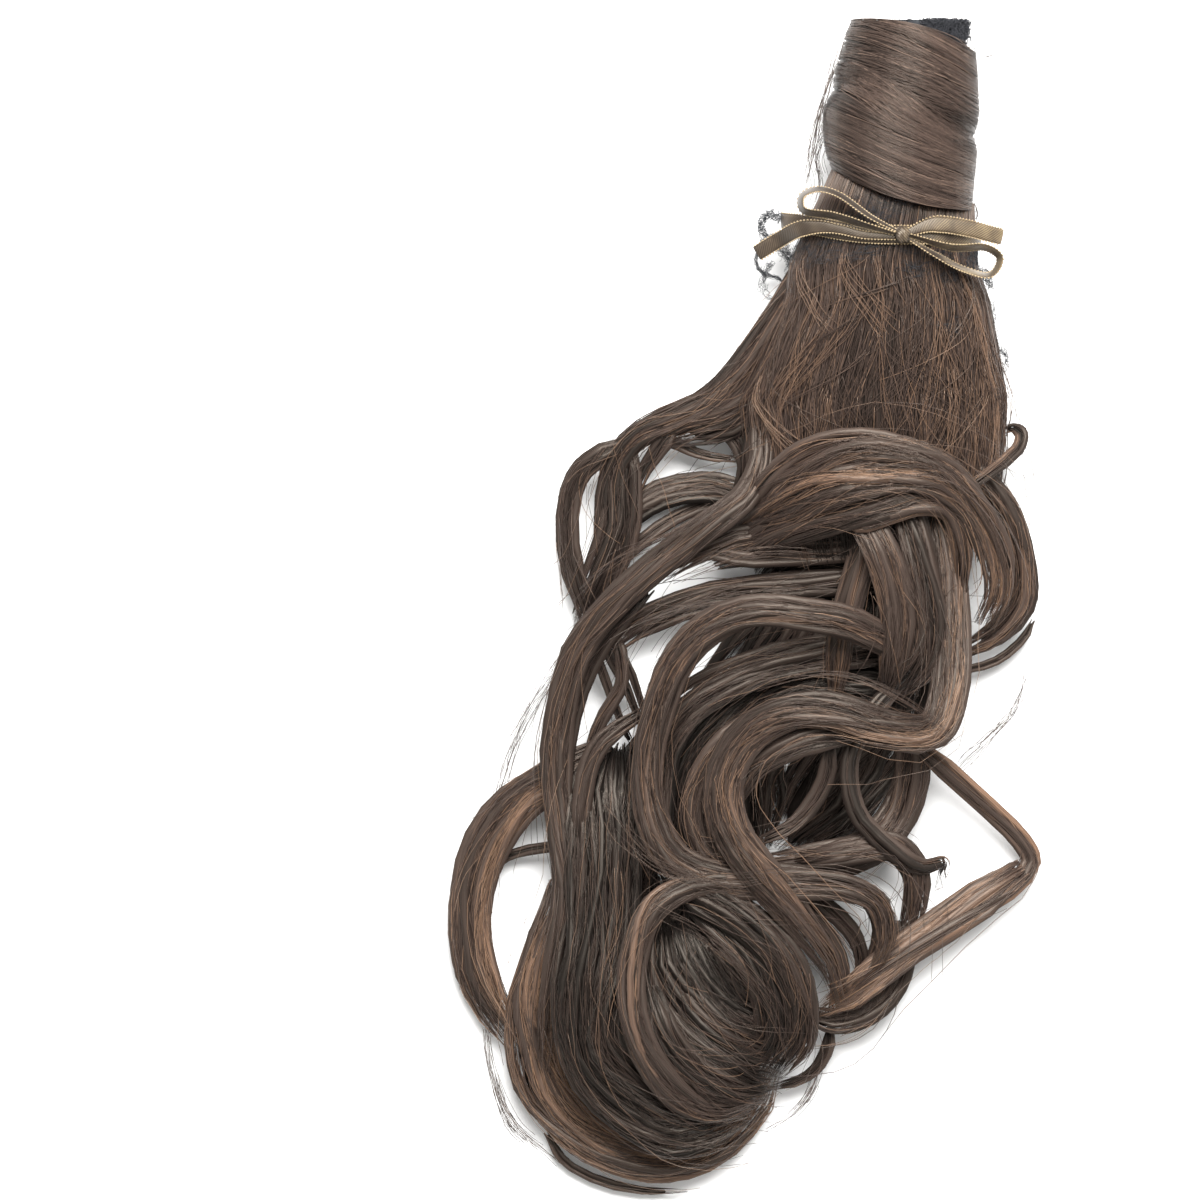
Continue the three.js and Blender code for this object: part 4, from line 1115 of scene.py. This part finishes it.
# Shreds: the places that each runs through (across, down, height, in millimetres), how far its threads
# stray from it, and how many they are.
Shred = namedtuple("Shred", "route stray count")
net_shreds = [
    Shred([(-46, 76, 26), (-51, 74, 25), (-54, 79, 22), (-50, 83, 20), (-46, 82, 22)], 1.7, 130),
    Shred([
        (-53, 84, 18), (-55.5, 92, 14), (-52, 96.5, 12), (-47, 98, 11), (-44, 101, 10), (-42, 105, 9),
    ], 0.7, 90),
    Shred([(-47, 84, 16), (-43, 90, 14), (-40, 97, 12)], 2.2, 60),
    Shred([(-50, 93, 12), (-53, 102, 8), (-47, 107, 7), (-41, 104, 8)], 1.2, 44),
    Shred([(28, 95, 26), (33, 97, 20), (35, 101, 14)], 1.8, 70),
    Shred([(36, 108, 20), (37, 120, 18), (39, 128, 14)], 1.1, 30),
    Shred([(38, 125, 14), (41, 128, 12), (40, 134, 10), (36, 131, 12)], 1.3, 40),
]


def net_shred(rng, shred):
    steps = 13
    route = smooth_line(shred.route, 60)[0] * [1, -1, 1]
    middle = rng.uniform(0, 1, (shred.count, 1)) ** 1.2
    half_length = rng.uniform(0.05, 0.3, (shred.count, 1))
    share = np.clip(middle + half_length * np.linspace(-1, 1, steps)[None], 0, 1)
    lines = table_at(route, share) + rng.normal(0, shred.stray * 0.55, (shred.count, 1, 3))
    lines = lines + curly(rng, shred.count, steps, shred.stray * 0.9, 9)
    return Threads(lines, net_thread, net_thread, rng.uniform(0, 1, (shred.count, 1)), UP)


rng = np.random.default_rng(50)
net_groups = [
    net_patch(rng, 26, (-1.5, -0.2), (84, 94)),
    net_patch(rng, 26, (-0.6, 0.2), (66, 80)),
    net_patch(rng, 60, (0.2, 1.5), (84, 98)),
    net_patch(rng, 40, (0.7, 1.6), (96, 120)),
    net_patch(rng, 44, (-3.2, 3.2), (72, 92)),
    *[net_shred(rng, shred) for shred in net_shreds],
]
net_grey = thread_material("net_grey", (0.014, 0.016, 0.019), (0.038, 0.041, 0.047), 0.8)
net_threads = thread_mesh("net_band_threads", net_groups, net_grey)
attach(net_threads, "root")
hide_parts("net_band")

# The ribbon: narrow taupe satin with a gold picot down both edges, tied round the neck over the net in a
# bow. The strips follow the solids' routes: the loops stand on edge and the ends lie flat.
ribbon_width = 6.6
ribbon_thickness = 0.4
tie_lift = 1.8
band_lift = tie_lift + 1
bow_reach = 56
bow_stand = np.radians(70)
picot_step = 1.25
picot_bead = [0.18, 0.34, 0.18]


def satin_material(name, dark, light, sheen_gilt, roughness):
    """Diagonal fine ribs and clouds of shade, and a painted sheen, lighter and more golden, towards the
    bow's right end.
    """
    material = plain_material(name, light, roughness)
    tree = material.node_tree
    link = tree.links.new
    surface = add_node(tree, "UVMap", uv_map="weave")
    ribs = add_node(
        tree, "TexWave", {"Scale": 0.55, "Distortion": 1.2, "Detail": 1}, bands_direction="DIAGONAL"
    )
    link(surface.outputs["UV"], ribs.inputs["Vector"])
    clouds = add_node(tree, "TexNoise", {"Scale": 0.12, "Detail": 4})
    link(surface.outputs["UV"], clouds.inputs["Vector"])
    place, apart = add_node(tree, "TexCoord"), add_node(tree, "SeparateXYZ")
    link(place.outputs["Object"], apart.inputs["Vector"])
    # The colour is pushed lighter and more golden towards the bow's right end: painted sheen.
    sheen_to_right = add_node(
        tree, "MapRange", {"From Min": 0.05, "From Max": 0.095, "To Min": -0.12, "To Max": 0.2}
    )
    link(apart.outputs["X"], sheen_to_right.inputs["Value"])
    clouds_and_sheen = add_node(tree, "Math")
    link(clouds.outputs["Fac"], clouds_and_sheen.inputs[0])
    link(sheen_to_right.outputs["Result"], clouds_and_sheen.inputs[1])
    total = add_node(tree, "Math", {1: 0.35}, operation="MULTIPLY_ADD")
    link(ribs.outputs["Fac"], total.inputs[0])
    link(clouds_and_sheen.outputs["Value"], total.inputs[2])
    colours = add_node(tree, "ValToRGB")
    colours.color_ramp.elements[0].color = (*dark, 1)
    colours.color_ramp.elements[0].position = 0.35
    colours.color_ramp.elements[1].color = (*sheen_gilt, 1)
    colours.color_ramp.elements.new(0.8).color = (*light, 1)
    link(total.outputs["Value"], colours.inputs["Fac"])
    shader = add_finish(material, colours.outputs["Color"], ribs.outputs["Fac"], 0.35, 0.0002)
    shader.inputs["Specular Tint"].default_value = (1, 0.88, 0.72, 1)
    shader.inputs["Sheen Weight"].default_value = 0.06
    return material


ribbon_satin = satin_material(
    "ribbon_satin", (0.013, 0.009, 0.0065), (0.06, 0.043, 0.03), (0.2, 0.15, 0.085), 0.36
)
picot_gold = thread_material("picot_gold", (0.17, 0.12, 0.06), (0.52, 0.39, 0.23), 0.4)


def band_height(across):
    low, high = (on_neck(side * np.pi / 2, band_lift, ribbon_down)[0] for side in (-1, 1))
    share = np.clip(np.interp(across, [low, high], [-1, 1]), -1, 1)
    return axis_height + (neck_half_height + band_lift) * np.sqrt(1 - share**2)


def ribbon_strip(name, centre, side, top, width, closed=False):
    """A satin strip along a centre line, with its side and top directions, and the picot on its edges."""
    steps, across_steps = len(centre), 6
    length = np.concatenate([[0], np.cumsum(np.linalg.norm(np.diff(centre, axis=0), axis=1))])
    strip = bmesh.new()
    weave = strip.loops.layers.uv.new("weave")
    bmesh.ops.create_grid(strip, x_segments=across_steps, y_segments=steps - 1, size=0.5)
    at = {}
    for vertex in strip.verts:
        row, u = round((vertex.co.y + 0.5) * (steps - 1)), vertex.co.x
        cup = 0.06 * width[row] * (1 - 4 * u * u)
        point = centre[row] + side[row] * u * width[row] + top[row] * cup
        at[vertex.index] = (u * width[row], length[row])
        vertex.co = (point + origin) / 1000
    for face in strip.faces:
        face.smooth = True
        for loop in face.loops:
            loop[weave].uv = at[loop.vert.index]
    if closed:
        bmesh.ops.remove_doubles(strip, verts=strip.verts, dist=1e-5)
    bmesh.ops.solidify(strip, geom=strip.faces, thickness=ribbon_thickness / 1000)
    bmesh.ops.recalc_face_normals(strip, faces=strip.faces)
    piece = from_bmesh(name + "_satin", strip, ribbon_satin)

    count = int(length[-1] / picot_step)
    where = (np.arange(count) + 0.5) * picot_step
    beads = []
    for edge in (-0.5, 0.5):
        rows = (centre + side * (edge * width)[:, None], side * np.sign(edge), np.gradient(centre, axis=0))
        middles, outward, along = (
            np.stack([np.interp(where, length, values[:, k]) for k in range(3)], axis=1) for values in rows
        )
        along = unit(along)[:, None] * np.array([-0.36, 0, 0.36])[None, :, None]
        bulge = outward[:, None] * np.array([0.05, 0.32, 0.05])[None, :, None]
        beads.append(Threads(middles[:, None] + along + bulge, picot_bead, picot_bead, 0, UP + 0.01))
    picot = thread_mesh(name + "_picot", beads, picot_gold, sides=4)
    for part in (piece, picot):
        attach(part, "root")
        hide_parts(name)


# The bow's strips: places are (across, along, lift) from the middle of the knot, as percentages of the
# bow's reach, and the lift is over the tied band. Fullness is (share of the length, share of the width).
Strip = namedtuple("Strip", "name stand fullness route")
loop_fullness = [(0, 0.4), (0.2, 1), (0.8, 1), (1, 0.4)]
end_fullness = [(0, 0.4), (0.3, 0.9)]
left_fullness = [(0, 0.3), (0.4, 0.5), (0.6, 0.86), (1, 0.86)]
bow_strips = [
    Strip("ribbon_loop_left", bow_stand, loop_fullness, [
        (-4, 2.6, 6.2), (-22, 12, 9), (-45, 28, 8), (-59, 31, 12), (-69, 26, 21), (-68, 17, 21),
        (-48, 13, 9.5), (-22, 5, 9), (-4.5, 0.2, 6.2),
    ]),
    Strip("ribbon_loop_right", bow_stand, loop_fullness, [
        (4.5, -0.6, 6.2), (34, -9, 12), (58, -9, 33), (67, -16, 30), (61, -27, 29), (44, -24, 9),
        (23, -14, 7), (4, -2.8, 6.2),
    ]),
    Strip("ribbon_tail_left", 0, left_fullness, [
        (-4, -1.4, 2), (-27, 0, 2.5), (-42, 3.5, 4.5), (-56, 5.5, 8), (-70, 4, 17), (-84, -3, 15),
        (-99, -12, 9),
    ]),
    Strip("ribbon_tail_right", 0, end_fullness, [
        (4, 1.4, 2.6), (21, 7, 4), (48, 4, 10), (60, 1, 23), (69, -1, 18),
    ]),
]
for strip in bow_strips:
    places = [
        (
            across / 100 * bow_reach,
            along / 100 * bow_reach - ribbon_down,
            float(band_height(across / 100 * bow_reach)) + lift / 100 * bow_reach,
        )
        for across, along, lift in strip.route
    ]
    centre, length = smooth_line(places, round(len(places) * 9))
    forward = unit(np.gradient(centre, axis=0))
    flat_side = unit(np.cross(forward, UP))
    side = flat_side * np.cos(strip.stand) + np.cross(forward, flat_side) * np.sin(strip.stand)
    top = np.cross(side, forward)
    width = ribbon_width * read_table(strip.fullness, np.linspace(0, 1, len(centre)))
    ribbon_strip(strip.name, centre, side, top, width)

# The tied band goes all round the neck, and stands off the hair in a slack fold at its left.
tie_angle = np.linspace(-np.pi, np.pi, 120)
slack = 8 * np.clip(-np.sin(tie_angle), 0, 1) ** 10
tie_rise = 5.5 * np.clip(-np.sin(tie_angle), 0, 1) ** 2
tie_centre = on_neck(tie_angle, tie_lift + 0.3 + slack, ribbon_down - tie_rise)
tie_side = np.tile([0.0, -1.0, 0.0], (len(tie_angle), 1))
tie_top = np.cross(tie_side, unit(np.gradient(tie_centre, axis=0)))
tie_width = np.full(len(tie_angle), ribbon_width)
ribbon_strip("ribbon_tie", tie_centre, tie_side, tie_top, tie_width, closed=True)

# The knot: the ribbon's own turn over the crossing, pulled tight into a few creases.
knot_size = np.array([5.6, 6.6, 4.6])
knot_shape = bmesh.new()
knot_weave = knot_shape.loops.layers.uv.new("weave")
bmesh.ops.create_uvsphere(knot_shape, u_segments=36, v_segments=24, radius=0.5)
knot_middle = np.array([0, -ribbon_down, float(band_height(0)) + 0.3 + 2.4])
for vertex in knot_shape.verts:
    x, y, z = vertex.co
    crease = 1 + 0.07 * np.sin(13 * x + 6 * y) - 0.16 * np.exp(-(x / 0.12) ** 2) * (z > 0)
    vertex.co = (np.array([x, y, z]) * crease * knot_size + knot_middle + origin) / 1000
for face in knot_shape.faces:
    face.smooth = True
    for loop in face.loops:
        loop[knot_weave].uv = (loop.vert.co.x * 1000, loop.vert.co.y * 1000)
ribbon_knot = from_bmesh("ribbon_knot_satin", knot_shape, ribbon_satin)
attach(ribbon_knot, "root")
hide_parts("ribbon_knot")

# Loose hairs: single hairs that have sprung out of the curls and lie over them and beside them.
loose_hair_count = 560
loose_half_width = 0.1
rng = np.random.default_rng(60)
loose_locks = [lock for lock in [*ring_locks, *band_locks, *right_locks, *roll_locks] if lock.width > 0.5]
loose_groups = []
for lock in loose_locks:
    count = max(5, round(loose_hair_count * len(lock.route) * lock.width / 330))
    half = np.array([lock.width * lock_width, lock.thick * lock_thickness]) / 2
    line, length = smooth_line([lay_point(place, half[1]) for place in lock.route])
    begin = rng.uniform(0, 0.6, (count, 1))
    share = begin + np.minimum(rng.uniform(0.25, 0.6, (count, 1)), 1 - begin) * np.linspace(0, 1, 14)[None]
    along = unit(np.gradient(line, axis=0))
    side = unit(np.cross(along, UP))
    bend = np.linspace(0, 1, 14)[None] ** 1.5
    out = rng.normal(0, 0.6, (count, 1)) * half[0] + rng.normal(0, 9, (count, 1)) * bend
    out = out + 1.5 * sway(rng, count, share * length, 60)
    lift = half[1] * rng.uniform(0.7, 1.15, (count, 1)) + np.abs(rng.normal(0, 1.6, (count, 1))) * bend
    lines = table_at(line, share) + table_at(side, share) * out[..., None]
    lines[..., 2] = np.clip(lines[..., 2] + lift, 0.4, 53)
    kept = ~too_far(lines)
    tone = rng.uniform(0.35, 0.9, (count, 1))[kept]
    loose_groups.append(Threads(lines[kept], loose_half_width, loose_half_width, tone, UP))

# Stray hairs, given one by one: the places that each wisp runs through (across, down, height, in
# millimetres), how far its hairs stray from it, and how many they are.
Wisp = namedtuple("Wisp", "route stray count")
wisps = [
    Wisp([(-23, 5, 34), (-28.5, 26, 30), (-34, 49, 26), (-38, 69, 20)], 2.2, 26),
    Wisp([(-26, 38, 30), (-33, 50, 22), (-31, 62, 16), (-35, 74, 10)], 2.2, 14),
    Wisp([(-45, 116, 26), (-26, 109, 39.5), (-8, 103, 44.4), (6, 98, 44.4)], 0.8, 14),
    Wisp([(-52, 134, 24), (-34, 124, 38.4), (-16, 113, 43.4)], 0.8, 12),
    Wisp([(27, 17, 30), (30, 15.4, 30), (33, 13.5, 28), (38.5, 11.5, 24)], 0.6, 5),
    Wisp([(26, 66, 26), (28.5, 70, 24), (29.5, 75, 22), (27, 76.5, 22)], 0.4, 6),
    Wisp([(-38, 96, 20), (-50, 118, 16), (-66, 136, 12), (-84, 148, 8)], 3, 10),
    Wisp([(34, 120, 24), (44, 140, 20), (49, 170, 14), (52, 200, 10)], 2, 8),
    Wisp([(50, 240, 14), (46, 262, 8), (34, 276, 4), (20, 290, 3)], 3, 16),
    Wisp([(-126, 240, 6), (-142, 262, 6), (-152, 284, 6), (-158, 312, 6)], 2.5, 18),
    Wisp([(-160, 380, 4), (-158, 402, 4), (-150, 424, 3), (-132, 440, 3)], 2, 20),
    Wisp([(-138, 310, 8), (-120, 318, 8), (-112, 334, 6), (-124, 352, 5)], 4, 16),
    Wisp([(-52, 428, 10), (-40, 420, 8), (-32, 408, 6), (-30, 396, 6)], 1.4, 16),
    Wisp([(-92, 216, 28), (-58, 204, 30), (-26, 204, 32)], 2, 14),
    Wisp([(-104, 232, 30), (-72, 224, 34), (-34, 218, 34)], 2, 14),
    Wisp([(-127, 224, 33), (-111, 208, 35), (-86, 196, 37), (-58, 178, 36)], 2, 18),
    Wisp([(-62, 257, 46), (-27, 250, 47), (2, 261, 46), (20, 276, 40)], 1.6, 12),
    Wisp([(-50, 184, 49), (-23, 165, 50), (12, 172, 50), (33, 199, 46)], 2, 14),
    Wisp([(-100, 338, 38), (-77, 349, 38), (-50, 376, 36), (-42, 399, 30)], 3, 18),
    Wisp([(-116, 299, 36), (-96, 322, 41), (-69, 330, 41), (-39, 326, 38)], 3, 18),
]
for wisp in wisps:
    route, length = smooth_line(wisp.route, 60)
    begin = rng.uniform(0, 0.5, (wisp.count, 1))
    share = begin + rng.uniform(0.4, 1, (wisp.count, 1)) * (1 - begin) * np.linspace(0, 1, 12)[None]
    lines = table_at(route * [1, -1, 1], share) + rng.normal(0, 0.6, (wisp.count, 1, 3)) * wisp.stray
    bends = [sway(rng, wisp.count, share * length, 40) for _ in range(3)]
    lines = lines + np.stack(bends, axis=-1) * wisp.stray * 0.35
    lines[..., 2] = np.maximum(lines[..., 2], 0.4)
    kept = ~too_far(lines)
    tone = rng.uniform(0.3, 0.7, (wisp.count, 1))[kept]
    loose_groups.append(Threads(lines[kept], loose_half_width, loose_half_width, tone, UP))
loose_hairs = thread_mesh("loose_hairs", loose_groups, tail_hair)
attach(loose_hairs, "root")
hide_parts("hair_tail")
